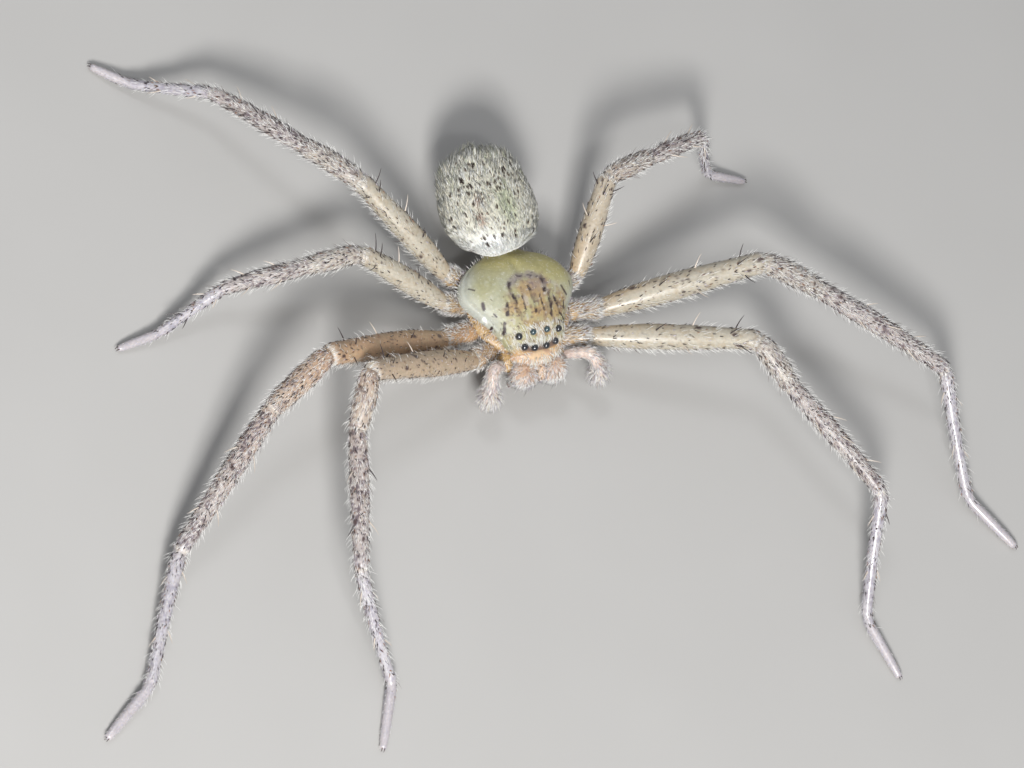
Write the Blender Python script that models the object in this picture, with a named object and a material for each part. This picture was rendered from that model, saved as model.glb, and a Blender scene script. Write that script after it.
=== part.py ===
"""A huntsman spider, life size, standing still with its legs laid out flat like a crab's.

It stands on the feet of seven legs. The fourth left leg is gone at its hip, as in the animal
that it follows. The head faces -Y, the animal's left side is +X, and +Z is up.
Lengths here are in millimetres. make_node turns them into metres.
"""

import math
import random

import bmesh
import bpy
from mathutils import Vector
from mathutils.geometry import intersect_point_line

MM = 0.001
JOINT_GAP = 0.3
EYE_GAP = 0.08
SEED = 11

# The head and chest
CHEST_REAR_Y = 4.6
CHEST_FRONT_Y = -4.5
CHEST_HALF_WIDTH = 5.45
CHEST_TOP_Z = 7.35
CHEST_RIM_Z = 5.0
STERNUM_HALF_WIDTH = 2.7
STERNUM_Z = 2.5

# The abdomen
WAIST_Y = 4.75
ABDOMEN_LENGTH = 9.35
ABDOMEN_WIDTH = 8.95
ABDOMEN_HEIGHT = 6.3
ABDOMEN_CENTRE_Z = 5.5
ABDOMEN_TURN = math.radians(1.5)
ABDOMEN_OVERHANG = 1.35
ABDOMEN_SKEW = 0.24

# The legs, from the first to the fourth: where each femur starts, and the length of each segment
HIP_HALF_WIDTH = (5.6, 7.6, 6.4, 5.3)
HIP_Y = (-3.8, -1.6, 1.5, 3.9)
HIP_Z = 4.2
COXA_INNER_HALF_WIDTH = (2.5, 3.0, 3.0, 2.5)
COXA_INNER_Y = (-2.75, -0.95, 0.95, 2.65)
COXA_INNER_Z = 3.3
FEMUR_LENGTH = (14.3, 14.3, 8.8, 11.3)
PATELLA_LENGTH = (4.9, 6.6, 5.0, 5.5)
TIBIA_LENGTH = (11.7, 13.7, 7.0, 8.9)
METATARSUS_LENGTH = (10.8, 11.4, 6.4, 7.1)
TARSUS_LENGTH = (5.5, 5.7, 3.6, 3.2)
LEG_THICKNESS = (1.0, 1.05, 0.92, 0.96)
ANKLE_Z = 0.85
TOE_Z = 0.33

# How each leg is held. A turn of 0 degrees points ahead, 90 straight out and 180 back.
# A rise is from the level. The metatarsus and tarsus come down to the floor by themselves.
TURN = {
    ("right", 1): (86, 25, 17, -19, 27),
    ("right", 2): (87, 62, 48, 29, 56),
    ("right", 3): (126, 91, 92, 71, 83),
    ("right", 4): (141, 142, 145, 121, 132),
    ("left", 1): (71, 25, 26, -14, 14),
    ("left", 2): (87, 65, 50, 4, 32),
    ("left", 3): (151, 103, 102, 58, 73),
}
RISE = {
    ("right", 1): (26, -24, -5),
    ("right", 2): (21, -16, -21),
    ("right", 3): (14, -11, -17),
    ("right", 4): (19, -11, -18),
    ("left", 1): (16, -10, -3),
    ("left", 2): (24, -20, -8),
    ("left", 3): (29, -6, -12),
}
SEGMENTS = ("femur", "patella", "tibia", "metatarsus", "tarsus")

# Half thickness of each segment at even steps from its near end to its far end
RADIUS = {
    "coxa": (0.52, 0.7, 0.86, 0.96, 0.88, 0.95, 0.86),
    "femur": (0.84, 1.05, 1.17, 1.17, 1.1, 1.0, 0.96),
    "patella": (0.95, 1.05, 1.08, 1.02, 0.93),
    "tibia": (0.86, 0.95, 0.96, 0.9, 0.82, 0.76),
    "metatarsus": (0.68, 0.66, 0.6, 0.56, 0.55, 0.56),
    "tarsus": (0.52, 0.53, 0.53, 0.52, 0.5, 0.42),
}
RINGS = {"coxa": 7, "femur": 9, "patella": 5, "tibia": 7, "metatarsus": 7, "tarsus": 6}
SIDES = {"coxa": 12, "femur": 12, "patella": 12, "tibia": 10, "metatarsus": 10, "tarsus": 10}
BOW = {"coxa": 0, "femur": 0.015, "patella": 0.03, "tibia": 0.015, "metatarsus": -0.02, "tarsus": 0}
SEGMENT_FLATNESS = 0.92

# The spines of each segment: share along it, and degrees from its top, positive to the rear
SPINES = {
    "femur": ((0.37, 8), (0.84, 12), (0.56, -62), (0.6, 62), (0.86, -60), (0.88, 64)),
    "tibia": ((0.28, -68), (0.32, 68), (0.68, -66), (0.72, 66), (0.5, 0)),
    "metatarsus": ((0.16, -78), (0.2, 78), (0.58, -74), (0.62, 74)),
}
SPINE_LENGTH = {"femur": 1.55, "tibia": 1.5, "metatarsus": 1.25}
SPINE_RADIUS = 0.265
SPINE_ROOT = 0.42
SPINE_LEAN = {"femur": 24, "tibia": 48, "metatarsus": 52}
SPINE_SIDES = 5

# The eyes: half spacing, distance behind the brow, and radius, in a front row and a rear row
BROW_Y = -4.25
EYES = {
    "front_middle": (0.56, 0.0, 0.31),
    "front_side": (1.48, 0.2, 0.31),
    "rear_middle": (0.66, 1.1, 0.27),
    "rear_side": (1.9, 1.05, 0.3),
}

# The palps and the jaws
PALP_LENGTHS = (1.8, 0.8, 1.0, 1.4)
PALP_RADIUS = (0.5, 0.62, 0.66, 0.7, 0.68, 0.76, 0.95, 0.9)
PALP_ROOT = (2.95, -4.75, 3.75)
PALP_TURN = {"right": (78, 40, 14, 4), "left": (66, 52, 36, 30)}
PALP_RISE = {"right": (44, -4, -40, -52), "left": (42, 12, -34, -58)}
JAW_HALF_SPACING = 1.42
JAW_RADIUS = 1.24
JAW_AHEAD = 1.0
JAW_TOP_Z = 4.9
JAW_BOTTOM_Z = 2.2
FANG_RADIUS = 0.34

COLOURS = {
    "chest": (0.55, 0.53, 0.27),
    "abdomen": (0.72, 0.70, 0.58),
    "leg": (0.55, 0.48, 0.38),
    "hip": (0.62, 0.38, 0.16),
    "jaw": (0.55, 0.34, 0.22),
    "fang": (0.10, 0.03, 0.02),
    "eye": (0.01, 0.012, 0.02),
}


def curve_through(values, at):
    """Reads a smooth curve through evenly spaced values, at a share from 0 to 1 of its length."""
    place = min(max(at, 0.0), 1.0) * (len(values) - 1)
    left = min(int(place), len(values) - 2)
    t = place - left
    before = values[max(left - 1, 0)]
    start, end = values[left], values[left + 1]
    after = values[min(left + 2, len(values) - 1)]
    slope_start = (end - before) / 2
    slope_end = (after - start) / 2
    return (
        (2 * t**3 - 3 * t**2 + 1) * start
        + (t**3 - 2 * t**2 + t) * slope_start
        + (3 * t**2 - 2 * t**3) * end
        + (t**3 - t**2) * slope_end
    )


def direction(side, turn, rise):
    """A unit vector from a turn away from straight ahead and a rise from the level, in degrees."""
    outward = 1 if side == "left" else -1
    turn, rise = math.radians(turn), math.radians(rise)
    return Vector(
        (
            outward * math.sin(turn) * math.cos(rise),
            -math.cos(turn) * math.cos(rise),
            math.sin(rise),
        )
    )


def skin_of_rings(rings, first_pole=None, last_pole=None):
    """Joins rings of points into one closed surface, with a pole or a flat cap at each end."""
    bm = bmesh.new()
    rows = [[bm.verts.new(point) for point in ring] for ring in rings]
    count = len(rows[0])
    for near, far in zip(rows, rows[1:]):
        for i in range(count):
            j = (i + 1) % count
            bm.faces.new((near[i], near[j], far[j], far[i]))
    for row, pole, flip in ((rows[0], first_pole, True), (rows[-1], last_pole, False)):
        if pole is None:
            bm.faces.new(row[::-1] if flip else row)
            continue
        tip = bm.verts.new(pole)
        for i in range(count):
            a, b = row[i], row[(i + 1) % count]
            bm.faces.new((tip, b, a) if flip else (tip, a, b))
    bmesh.ops.recalc_face_normals(bm, faces=bm.faces)
    return bm


def axes_across(along):
    """The level axis and the upper axis at right angles to a direction."""
    level = Vector((0, 0, 1)).cross(along).normalized()
    return level, along.cross(level).normalized()


def bowed_line(start, end, share, bow):
    """A point on the line from start to end, lifted by a share of its length in the middle."""
    upper = axes_across((end - start).normalized())[1]
    return start.lerp(end, share) + upper * (bow * (end - start).length * 4 * share * (1 - share))


def tube(start, end, radii, rings, sides, bow=0.0, flatness=1.0, overrun=(0.0, 0.0)):
    """A closed tube from start to end with a smooth radius, bowed up and run past both ends."""
    length = (end - start).length
    level, upper = axes_across((end - start).normalized())
    first, last = -overrun[0] / length, 1 + overrun[1] / length
    made = []
    for step in range(rings + 1):
        share = first + (last - first) * step / rings
        radius = curve_through(radii, share)
        centre = bowed_line(start, end, share, bow)
        made.append(
            [
                centre
                + level * (radius * math.cos(angle))
                + upper * (radius * flatness * math.sin(angle))
                for angle in (2 * math.pi * (i + 0.5) / sides for i in range(sides))
            ]
        )
    return skin_of_rings(made)


def cut_at(bm, point, normal):
    """Takes away all that lies past a plane, on the side that its normal points to, and caps it."""
    geometry = bm.verts[:] + bm.edges[:] + bm.faces[:]
    bmesh.ops.bisect_plane(
        bm, geom=geometry, dist=1e-5, plane_co=point, plane_no=normal, clear_outer=True
    )
    rim = [edge for edge in bm.edges if edge.is_boundary]
    if rim:
        bmesh.ops.holes_fill(bm, edges=rim, sides=0)
    bmesh.ops.recalc_face_normals(bm, faces=bm.faces)


def ball(centre, radius, stretch=(1, 1, 1), subdivisions=2):
    bm = bmesh.new()
    bmesh.ops.create_icosphere(bm, subdivisions=subdivisions, radius=radius)
    for vertex in bm.verts:
        vertex.co = Vector(centre) + Vector(c * s for c, s in zip(vertex.co, stretch))
    return bm


def material(kind):
    name = "spider_" + kind
    found = bpy.data.materials.get(name)
    if found:
        return found
    made = bpy.data.materials.new(name)
    made.use_nodes = True
    shader = made.node_tree.nodes["Principled BSDF"]
    shader.inputs["Base Color"].default_value = (*COLOURS[kind], 1)
    shader.inputs["Roughness"].default_value = 0.1 if kind == "eye" else 0.45
    shader.inputs["Metallic"].default_value = 0.0
    return made


def helper_object(name, bm):
    mesh = bpy.data.meshes.new(name)
    bm.to_mesh(mesh)
    bm.free()
    made = bpy.data.objects.new(name, mesh)
    made.hide_render = True
    made.display_type = "WIRE"
    return made


def combined(bm, others, operation):
    """One Boolean of a closed mesh with a collection of closed meshes, applied."""
    base = helper_object("base", bm)
    bpy.context.scene.collection.objects.link(base)
    group = bpy.data.collections.new("pieces")
    bpy.context.scene.collection.children.link(group)
    for other in others:
        group.objects.link(helper_object("piece", other))
    step = base.modifiers.new(operation.lower(), "BOOLEAN")
    step.operation = operation
    step.operand_type = "COLLECTION"
    step.collection = group
    step.solver = "EXACT"
    bpy.context.view_layer.update()
    evaluated = base.evaluated_get(bpy.context.evaluated_depsgraph_get())
    result = bmesh.new()
    result.from_mesh(evaluated.to_mesh())
    evaluated.to_mesh_clear()
    for leftover in [base, *group.objects]:
        bpy.data.objects.remove(leftover)
    bpy.data.collections.remove(group)
    return largest_surface(result)


def largest_surface(bm):
    """Keeps the closed surface with the widest box, and drops any loose scrap or sealed hollow."""
    bmesh.ops.remove_doubles(bm, verts=bm.verts, dist=1e-5)
    waiting = set(bm.verts)
    surfaces = []
    while waiting:
        found = {waiting.pop()}
        edge_of_search = list(found)
        while edge_of_search:
            vertex = edge_of_search.pop()
            for edge in vertex.link_edges:
                other = edge.other_vert(vertex)
                if other in waiting:
                    waiting.discard(other)
                    found.add(other)
                    edge_of_search.append(other)
        size = sum(
            max(v.co[axis] for v in found) - min(v.co[axis] for v in found) for axis in range(3)
        )
        surfaces.append((size, found))
    kept = max(surfaces, key=lambda surface: surface[0])[1]
    bmesh.ops.delete(bm, geom=[v for v in bm.verts if v not in kept], context="VERTS")
    return bm


def make_node(name, bm, origin, kind, carrier):
    """Turns a mesh in millimetres into a named object whose origin is at its own joint."""
    for vertex in bm.verts:
        vertex.co = (vertex.co - origin) * MM
    mesh = bpy.data.meshes.new(name)
    bm.to_mesh(mesh)
    bm.free()
    mesh.shade_smooth()
    mesh.set_sharp_from_angle(angle=math.radians(50))
    mesh.materials.append(material(kind))
    made = bpy.data.objects.new(name, mesh)
    made.location = origin * MM
    made.parent = carrier
    bpy.context.scene.collection.objects.link(made)
    return made


def inner_hip(side, number):
    outward = 1 if side == "left" else -1
    return Vector(
        (outward * COXA_INNER_HALF_WIDTH[number - 1], COXA_INNER_Y[number - 1], COXA_INNER_Z)
    )


def outer_hip(side, number):
    outward = 1 if side == "left" else -1
    return Vector((outward * HIP_HALF_WIDTH[number - 1], HIP_Y[number - 1], HIP_Z))


def leg_joints(side, number):
    """The points where a leg's segments meet, from the inner end of its coxa to its toe."""
    lengths = [
        table[number - 1]
        for table in (
            FEMUR_LENGTH,
            PATELLA_LENGTH,
            TIBIA_LENGTH,
            METATARSUS_LENGTH,
            TARSUS_LENGTH,
        )
    ]
    rises = list(RISE[side, number])
    points = [inner_hip(side, number), outer_hip(side, number)]
    for index, length in enumerate(lengths):
        start = points[-1]
        if index < len(rises):
            rise = rises[index]
        else:
            floor = ANKLE_Z if index == 3 else TOE_Z
            rise = math.degrees(math.asin((floor - start.z) / length))
        points.append(start + direction(side, TURN[side, number][index], rise) * length)
    return points


def leg_segment(kind, points, index, thickness):
    """One segment between two joints, cut square across the bend at each joint."""
    start, end = points[index], points[index + 1]
    along = (end - start).normalized()
    radii = [radius * thickness for radius in RADIUS[kind]]
    overrun = []
    cuts = []
    for joint, other, sign in ((index, index - 1, -1), (index + 1, index + 2, 1)):
        if not 0 <= other < len(points):
            overrun.append(0.0)
            continue
        beyond = (points[other] - points[joint]).normalized() * sign
        normal = (along + beyond).normalized() * sign
        bend = along.angle(beyond)
        radius = radii[0] if sign < 0 else radii[-1]
        overrun.append(radius * math.tan(bend / 2) + JOINT_GAP)
        cuts.append((points[joint] - normal * (JOINT_GAP / 2), normal))
    bm = tube(
        start,
        end,
        radii,
        RINGS[kind],
        SIDES[kind],
        BOW[kind],
        SEGMENT_FLATNESS,
        overrun,
    )
    for point, normal in cuts:
        cut_at(bm, point, normal)
    return bm


def round_toe(points, thickness):
    """The tarsus, with a blunt end and a flat sole where it stands on the floor."""
    bm = leg_segment("tarsus", points, len(points) - 2, thickness)
    toe = points[-1]
    along = (toe - points[-2]).normalized()
    radius = RADIUS["tarsus"][-1] * thickness
    pad = ball(toe - along * radius * 0.3, radius * 1.02, (1, 1, 1))
    bm = combined(bm, [pad], "UNION")
    cut_at(bm, Vector((0, 0, 0)), Vector((0, 0, -1)))
    return bm


def spine(root, out, ahead, length, lean):
    """A tapered spine that leans towards the toe and bends a little more at its tip."""
    tilt = math.radians(lean)
    lower = out * math.cos(tilt) + ahead * math.sin(tilt)
    across = lower.cross(ahead).normalized()
    other = across.cross(lower)
    made = []
    for height, radius in ((-SPINE_ROOT, SPINE_RADIUS * 1.1), (0.42 * length, SPINE_RADIUS * 0.7)):
        made.append(
            [
                root
                + lower * height
                + (across * math.cos(angle) + other * math.sin(angle)) * radius
                for angle in (2 * math.pi * i / SPINE_SIDES for i in range(SPINE_SIDES))
            ]
        )
    tip = root + lower * length + ahead * (0.12 * length)
    return skin_of_rings(made, None, tip), tip


def is_clear(root, tip, own_leg, other_tips):
    """True where a spine keeps away from the other legs and from the spines on them."""
    points = [root.lerp(tip, share) for share in (0.35, 0.7, 1.0)]
    for leg in TURN:
        if leg == own_leg:
            continue
        joints = leg_joints(*leg)
        thickness = LEG_THICKNESS[leg[1] - 1]
        for near, far in zip(joints, joints[1:]):
            for point in points:
                nearest, share = intersect_point_line(point, near, far)
                nearest = near.lerp(far, min(max(share, 0), 1))
                if (point - nearest).length < 1.2 * thickness + JOINT_GAP:
                    return False
    return all((point - other).length > 1.1 for point in points for other in other_tips)


def spined(bm, kind, points, index, leg, draw, other_tips):
    """Adds a segment's spines to it, where there is room for them, with their roots sunk in."""
    side, number = leg
    start, end = points[index], points[index + 1]
    ahead = (end - start).normalized()
    level, upper = axes_across(ahead)
    rearward = level if level.y > 0 else -level
    radii = [radius * LEG_THICKNESS[number - 1] for radius in RADIUS[kind]]
    made = []
    tips = []
    for share, turn in SPINES[kind]:
        share += draw.uniform(-0.025, 0.025)
        angle = math.radians(turn + draw.uniform(-7, 7))
        length = SPINE_LENGTH[kind] * draw.uniform(0.85, 1.12)
        out = upper * math.cos(angle) + rearward * math.sin(angle)
        depth = SEGMENT_FLATNESS * math.cos(angle), math.sin(angle)
        surface = curve_through(radii, share) * math.hypot(*depth)
        root = bowed_line(start, end, share, BOW[kind]) + out * surface
        piece, tip = spine(root, out, ahead, length, SPINE_LEAN[kind])
        if is_clear(root, tip, leg, other_tips):
            made.append(piece)
            tips.append(tip)
        else:
            piece.free()
    return combined(bm, made, "UNION"), tips


def make_leg(side, number, carrier, draw, other_tips):
    points = leg_joints(side, number)
    thickness = LEG_THICKNESS[number - 1]
    own_tips = []
    for index, kind in enumerate(SEGMENTS):
        if kind == "tarsus":
            bm = round_toe(points, thickness)
        else:
            bm = leg_segment(kind, points, index + 1, thickness)
        if kind in SPINES:
            leg = (side, number)
            bm, tips = spined(bm, kind, points, index + 1, leg, draw, other_tips)
            own_tips += tips
        make_node(f"leg_{side}_{number}_{kind}", bm, points[index + 1], "leg", carrier)
    other_tips += own_tips


def coxa_shape(side, number, margin=0.0):
    """The hip piece from the sternum out to the femur, grown by a margin where it cuts its socket."""
    if (side, number) in TURN:
        points = leg_joints(side, number)[:3]
    else:
        points = [inner_hip(side, number), outer_hip(side, number)]
    thickness = LEG_THICKNESS[number - 1]
    radii = [radius * thickness + margin for radius in RADIUS["coxa"]]
    if margin:
        return tube(points[0], points[1], radii, RINGS["coxa"], SIDES["coxa"], 0, 1, (margin, 0))
    if len(points) == 3:
        return leg_segment("coxa", points, 0, thickness)
    along = (points[1] - points[0]).normalized()
    bm = tube(points[0], points[1] - along * 1.1, radii[:-1], RINGS["coxa"], SIDES["coxa"])
    return bm


def chest_width(share):
    """Half width along the chest, from 0 at the rear edge to 1 at the brow."""
    outline = (0.32, 0.66, 0.88, 0.98, 1.0, 0.92, 0.79, 0.66, 0.57, 0.51, 0.4)
    return CHEST_HALF_WIDTH * curve_through(outline, share)


def chest_top(share):
    """Height of the midline along the chest, highest behind the head."""
    outline = (0.1, 0.5, 0.78, 0.94, 1.0, 0.99, 0.94, 0.86, 0.74, 0.56, 0.22)
    return CHEST_RIM_Z + (CHEST_TOP_Z - CHEST_RIM_Z) * curve_through(outline, share)


def make_chest(carrier):
    """The carapace as a low dome, with the sternum under it and a socket for each hip and eye."""
    rings, sides = 22, 32
    made = []
    for step in range(rings + 1):
        share = 0.5 - 0.5 * math.cos(math.pi * (0.04 + 0.92 * step / rings))
        y = CHEST_REAR_Y + (CHEST_FRONT_Y - CHEST_REAR_Y) * share
        half_width = chest_width(share)
        top = chest_top(share)
        rim = CHEST_RIM_Z
        ring = []
        for i in range(sides):
            angle = 2 * math.pi * i / sides
            height = math.sin(angle)
            if height > 0:
                z = rim + (top - rim) * height**0.85
            else:
                z = rim + 0.75 * height
            ring.append((half_width * math.cos(angle), y, z))
        made.append(ring)
    dome = skin_of_rings(
        made,
        (0, CHEST_REAR_Y + 0.05, CHEST_RIM_Z - 0.1),
        (0, CHEST_FRONT_Y - 0.1, CHEST_RIM_Z),
    )
    sternum = ball(
        (0, 0.0, CHEST_RIM_Z - 0.4),
        1,
        (STERNUM_HALF_WIDTH, 3.5, CHEST_RIM_Z - 0.4 - STERNUM_Z),
        3,
    )
    lip = ball((0, -3.55, 3.55), 1, (1.0, 0.75, 1.0), 2)
    solid = combined(dome, [sternum, lip], "UNION")
    sockets = [
        coxa_shape(side, number, JOINT_GAP) for side in ("left", "right") for number in (1, 2, 3, 4)
    ]
    solid = combined(solid, sockets, "DIFFERENCE")
    eye_cups = [ball(centre, radius + EYE_GAP) for _, centre, radius in eye_places()]
    solid = combined(solid, eye_cups, "DIFFERENCE")
    return make_node("cephalothorax", solid, Vector((0, 0, CHEST_RIM_Z)), "chest", carrier)


def chest_surface(x, y):
    """Height of the carapace above a point, by the same rule as its dome."""
    share = (y - CHEST_REAR_Y) / (CHEST_FRONT_Y - CHEST_REAR_Y)
    across = min(abs(x) / chest_width(share), 1)
    height = math.sin(math.acos(across))
    return CHEST_RIM_Z + (chest_top(share) - CHEST_RIM_Z) * height**0.85


def eye_places():
    """The name, centre and radius of each of the eight eyes, sunk by half into the head."""
    places = []
    for row, (half_spacing, behind, radius) in EYES.items():
        for side, outward in (("left", 1), ("right", -1)):
            x, y = outward * half_spacing, BROW_Y + behind
            centre = Vector((x, y, chest_surface(x, y) + 0.1 * radius))
            places.append((f"eye_{row}_{side}", centre, radius))
    return places


def make_abdomen(carrier):
    """An egg-shaped sac that leans over its waist in front, with spinnerets behind."""
    rings, sides = 20, 28
    made = []
    for step in range(rings + 1):
        share = 0.5 - 0.5 * math.cos(math.pi * (0.05 + 0.9 * step / rings))
        fullness = curve_through((0.0, 0.95, 0.9, 0.91, 0.9, 0.87, 0.79, 0.63, 0.0), share)
        rounding = math.sqrt(max(1 - (2 * share - 1) ** 2, 0))
        size = 0.4 * rounding + 0.6 * fullness
        sag = 0.35 * math.sin(math.pi * share)
        ring = []
        for i in range(sides):
            angle = 2 * math.pi * i / sides
            x = ABDOMEN_WIDTH / 2 * size * math.cos(angle)
            z = ABDOMEN_CENTRE_Z - sag + ABDOMEN_HEIGHT / 2 * size * math.sin(angle)
            overhang = ABDOMEN_OVERHANG * max(z - ABDOMEN_CENTRE_Z - 0.2, 0) - ABDOMEN_SKEW * x
            ring.append((x, WAIST_Y + ABDOMEN_LENGTH * share - overhang * (1 - share) ** 2, z))
        made.append(ring)
    sac = skin_of_rings(
        made,
        (0, WAIST_Y - 0.02, ABDOMEN_CENTRE_Z),
        (0, WAIST_Y + ABDOMEN_LENGTH, ABDOMEN_CENTRE_Z - 0.1),
    )
    waist = tube(
        Vector((0, CHEST_REAR_Y + JOINT_GAP, 4.4)),
        Vector((0, WAIST_Y + 1.6, 4.6)),
        (0.65, 0.7, 0.9),
        3,
        12,
    )
    rear = WAIST_Y + ABDOMEN_LENGTH
    spinnerets = []
    for half_spacing, drop, length, radius in ((0.55, 1.75, 1.5, 0.42), (0.5, 0.95, 1.3, 0.34)):
        for outward in (1, -1):
            root = Vector((outward * half_spacing, rear - 1.6, ABDOMEN_CENTRE_Z - drop))
            tip = root + Vector((outward * 0.16, 1.0, -0.18)) * length
            spinnerets.append(tube(root, tip, (radius, radius, radius * 0.7), 3, 8))
    solid = combined(sac, [waist, *spinnerets], "UNION")
    cosine, sine = math.cos(-ABDOMEN_TURN), math.sin(-ABDOMEN_TURN)
    for vertex in solid.verts:
        x, y = vertex.co.x, vertex.co.y - WAIST_Y
        if y > 0:
            vertex.co.x = cosine * x - sine * y
            vertex.co.y = WAIST_Y + sine * x + cosine * y
    return make_node("abdomen", solid, Vector((0, WAIST_Y, 4.4)), "abdomen", carrier)


def palp_points(side):
    outward = 1 if side == "left" else -1
    points = [Vector((outward * PALP_ROOT[0], PALP_ROOT[1], PALP_ROOT[2]))]
    for length, turn, rise in zip(PALP_LENGTHS, PALP_TURN[side], PALP_RISE[side]):
        points.append(points[-1] + direction(side, turn, rise) * length)
    return points


def make_palp(side, carrier):
    """A short feeler of four segments, swept along one smooth path with a blunt, wide end."""
    points = palp_points(side)
    rings, sides = 14, 12
    centres = [
        Vector(curve_through([p[axis] for p in points], step / rings) for axis in range(3))
        for step in range(rings + 1)
    ]
    made = []
    for step, centre in enumerate(centres):
        ahead = centres[min(step + 1, rings)] - centres[max(step - 1, 0)]
        level, upper = axes_across(ahead.normalized())
        radius = curve_through(PALP_RADIUS, step / rings)
        made.append(
            [
                centre
                + level * (radius * math.cos(2 * math.pi * i / sides))
                + upper * (radius * 0.9 * math.sin(2 * math.pi * i / sides))
                for i in range(sides)
            ]
        )
    end = (centres[-1] - centres[-2]).normalized()
    bm = skin_of_rings(made, None, centres[-1] + end * 0.45)
    return make_node(f"palp_{side}", bm, points[0], "leg", carrier)


def make_jaw(side, carrier):
    """A stout chelicera that bulges forward and narrows to the fang."""
    outward = 1 if side == "left" else -1
    top = Vector((outward * JAW_HALF_SPACING, CHEST_FRONT_Y - JAW_AHEAD, JAW_TOP_Z))
    bottom = Vector((outward * (JAW_HALF_SPACING - 0.05), CHEST_FRONT_Y - JAW_AHEAD, JAW_BOTTOM_Z))
    rings, sides = 9, 16
    made = []
    for step in range(rings + 1):
        share = step / rings
        centre = top.lerp(bottom, share)
        centre.y -= 0.35 * math.sin(math.pi * min(share * 1.2, 1))
        size = JAW_RADIUS * curve_through((0.55, 0.92, 1.0, 1.0, 0.94, 0.8, 0.5), share)
        made.append(
            [
                centre
                + Vector(
                    (
                        size * math.cos(2 * math.pi * i / sides),
                        0.9 * size * math.sin(2 * math.pi * i / sides),
                        0,
                    )
                )
                for i in range(sides)
            ]
        )
    bm = skin_of_rings(made, top + Vector((0, 0, 0.12)), bottom - Vector((0, 0, 0.1)))
    make_node(f"chelicera_{side}", bm, top, "jaw", carrier)
    root = bottom + Vector((outward * 0.2, -0.1, -0.1 - JOINT_GAP - FANG_RADIUS))
    rings, sides = 6, 8
    made = []
    for step in range(rings + 1):
        share = step / rings
        swing = math.radians(75 * share)
        centre = root + Vector(
            (-outward * 0.95 * math.sin(swing), 0.75 * (1 - math.cos(swing)), -0.28 * share)
        )
        radius = FANG_RADIUS * (1 - 0.72 * share)
        made.append(
            [
                centre
                + Vector(
                    (
                        0,
                        radius * math.cos(2 * math.pi * i / sides),
                        radius * math.sin(2 * math.pi * i / sides),
                    )
                )
                for i in range(sides)
            ]
        )
    make_node(f"fang_{side}", skin_of_rings(made), root, "fang", carrier)


def clear_scene():
    for thing in list(bpy.data.objects):
        bpy.data.objects.remove(thing)


def centre_on_floor(carrier):
    """Moves the animal so that the middle of its box is over the origin."""
    bpy.context.view_layer.update()
    corners = [
        piece.matrix_world @ vertex.co
        for piece in carrier.children
        for vertex in piece.data.vertices
    ]
    for axis in (0, 1):
        low = min(corner[axis] for corner in corners)
        high = max(corner[axis] for corner in corners)
        carrier.location[axis] = -(low + high) / 2


def main():
    clear_scene()
    spider = bpy.data.objects.new("spider", None)
    bpy.context.scene.collection.objects.link(spider)
    make_chest(spider)
    make_abdomen(spider)
    for name, centre, radius in eye_places():
        make_node(name, ball(centre, radius), centre, "eye", spider)
    draw = random.Random(SEED)
    spine_tips = []
    for side in ("left", "right"):
        make_jaw(side, spider)
        make_palp(side, spider)
        for number in (1, 2, 3, 4):
            hip = coxa_shape(side, number)
            make_node(f"leg_{side}_{number}_coxa", hip, inner_hip(side, number), "hip", spider)
            if (side, number) in TURN:
                make_leg(side, number, spider, draw, spine_tips)
    centre_on_floor(spider)


main()
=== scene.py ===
"""The looks of a pale huntsman spider that stands with its legs laid out flat.

Shapes are worked out with numpy in millimetres, in the animal's own frame: the head looks to
-Y, its left side is +X, and +Z is up. build_mesh turns them into metres in the model's frame.
"""

import math

import bpy
import numpy as np
from mathutils import Matrix, Vector


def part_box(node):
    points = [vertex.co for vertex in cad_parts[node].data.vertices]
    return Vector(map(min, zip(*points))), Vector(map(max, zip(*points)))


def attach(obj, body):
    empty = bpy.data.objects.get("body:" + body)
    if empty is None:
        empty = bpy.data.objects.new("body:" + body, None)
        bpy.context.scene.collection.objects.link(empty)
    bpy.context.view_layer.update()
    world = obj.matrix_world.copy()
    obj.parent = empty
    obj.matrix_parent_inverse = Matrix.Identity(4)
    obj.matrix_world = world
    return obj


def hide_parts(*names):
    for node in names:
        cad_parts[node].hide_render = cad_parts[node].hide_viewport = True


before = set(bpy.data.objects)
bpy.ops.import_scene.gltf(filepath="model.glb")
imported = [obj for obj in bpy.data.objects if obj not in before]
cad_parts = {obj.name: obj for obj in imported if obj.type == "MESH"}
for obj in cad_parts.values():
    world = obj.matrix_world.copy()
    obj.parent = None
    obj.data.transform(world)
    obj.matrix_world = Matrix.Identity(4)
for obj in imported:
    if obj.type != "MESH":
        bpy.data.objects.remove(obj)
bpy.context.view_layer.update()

MM = 0.001
SEED = 7
FLOOR_CLEARANCE = 0.01
OUTWARD = {"left": 1, "right": -1}

# The head and chest
CHEST_REAR_Y = 4.6
CHEST_FRONT_Y = -4.5
CHEST_HALF_WIDTH = 5.45
CHEST_TOP_Z = 7.35
CHEST_RIM_Z = 5.0
CHEST_WIDTH_OUTLINE = (0.32, 0.66, 0.88, 0.98, 1.0, 0.92, 0.79, 0.66, 0.57, 0.51, 0.4)
CHEST_TOP_OUTLINE = (0.1, 0.5, 0.78, 0.94, 1.0, 0.99, 0.94, 0.86, 0.74, 0.56, 0.22)
BROW_Y = -4.25
CHEST_RINGS, CHEST_COLUMNS = 230, 260

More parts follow.
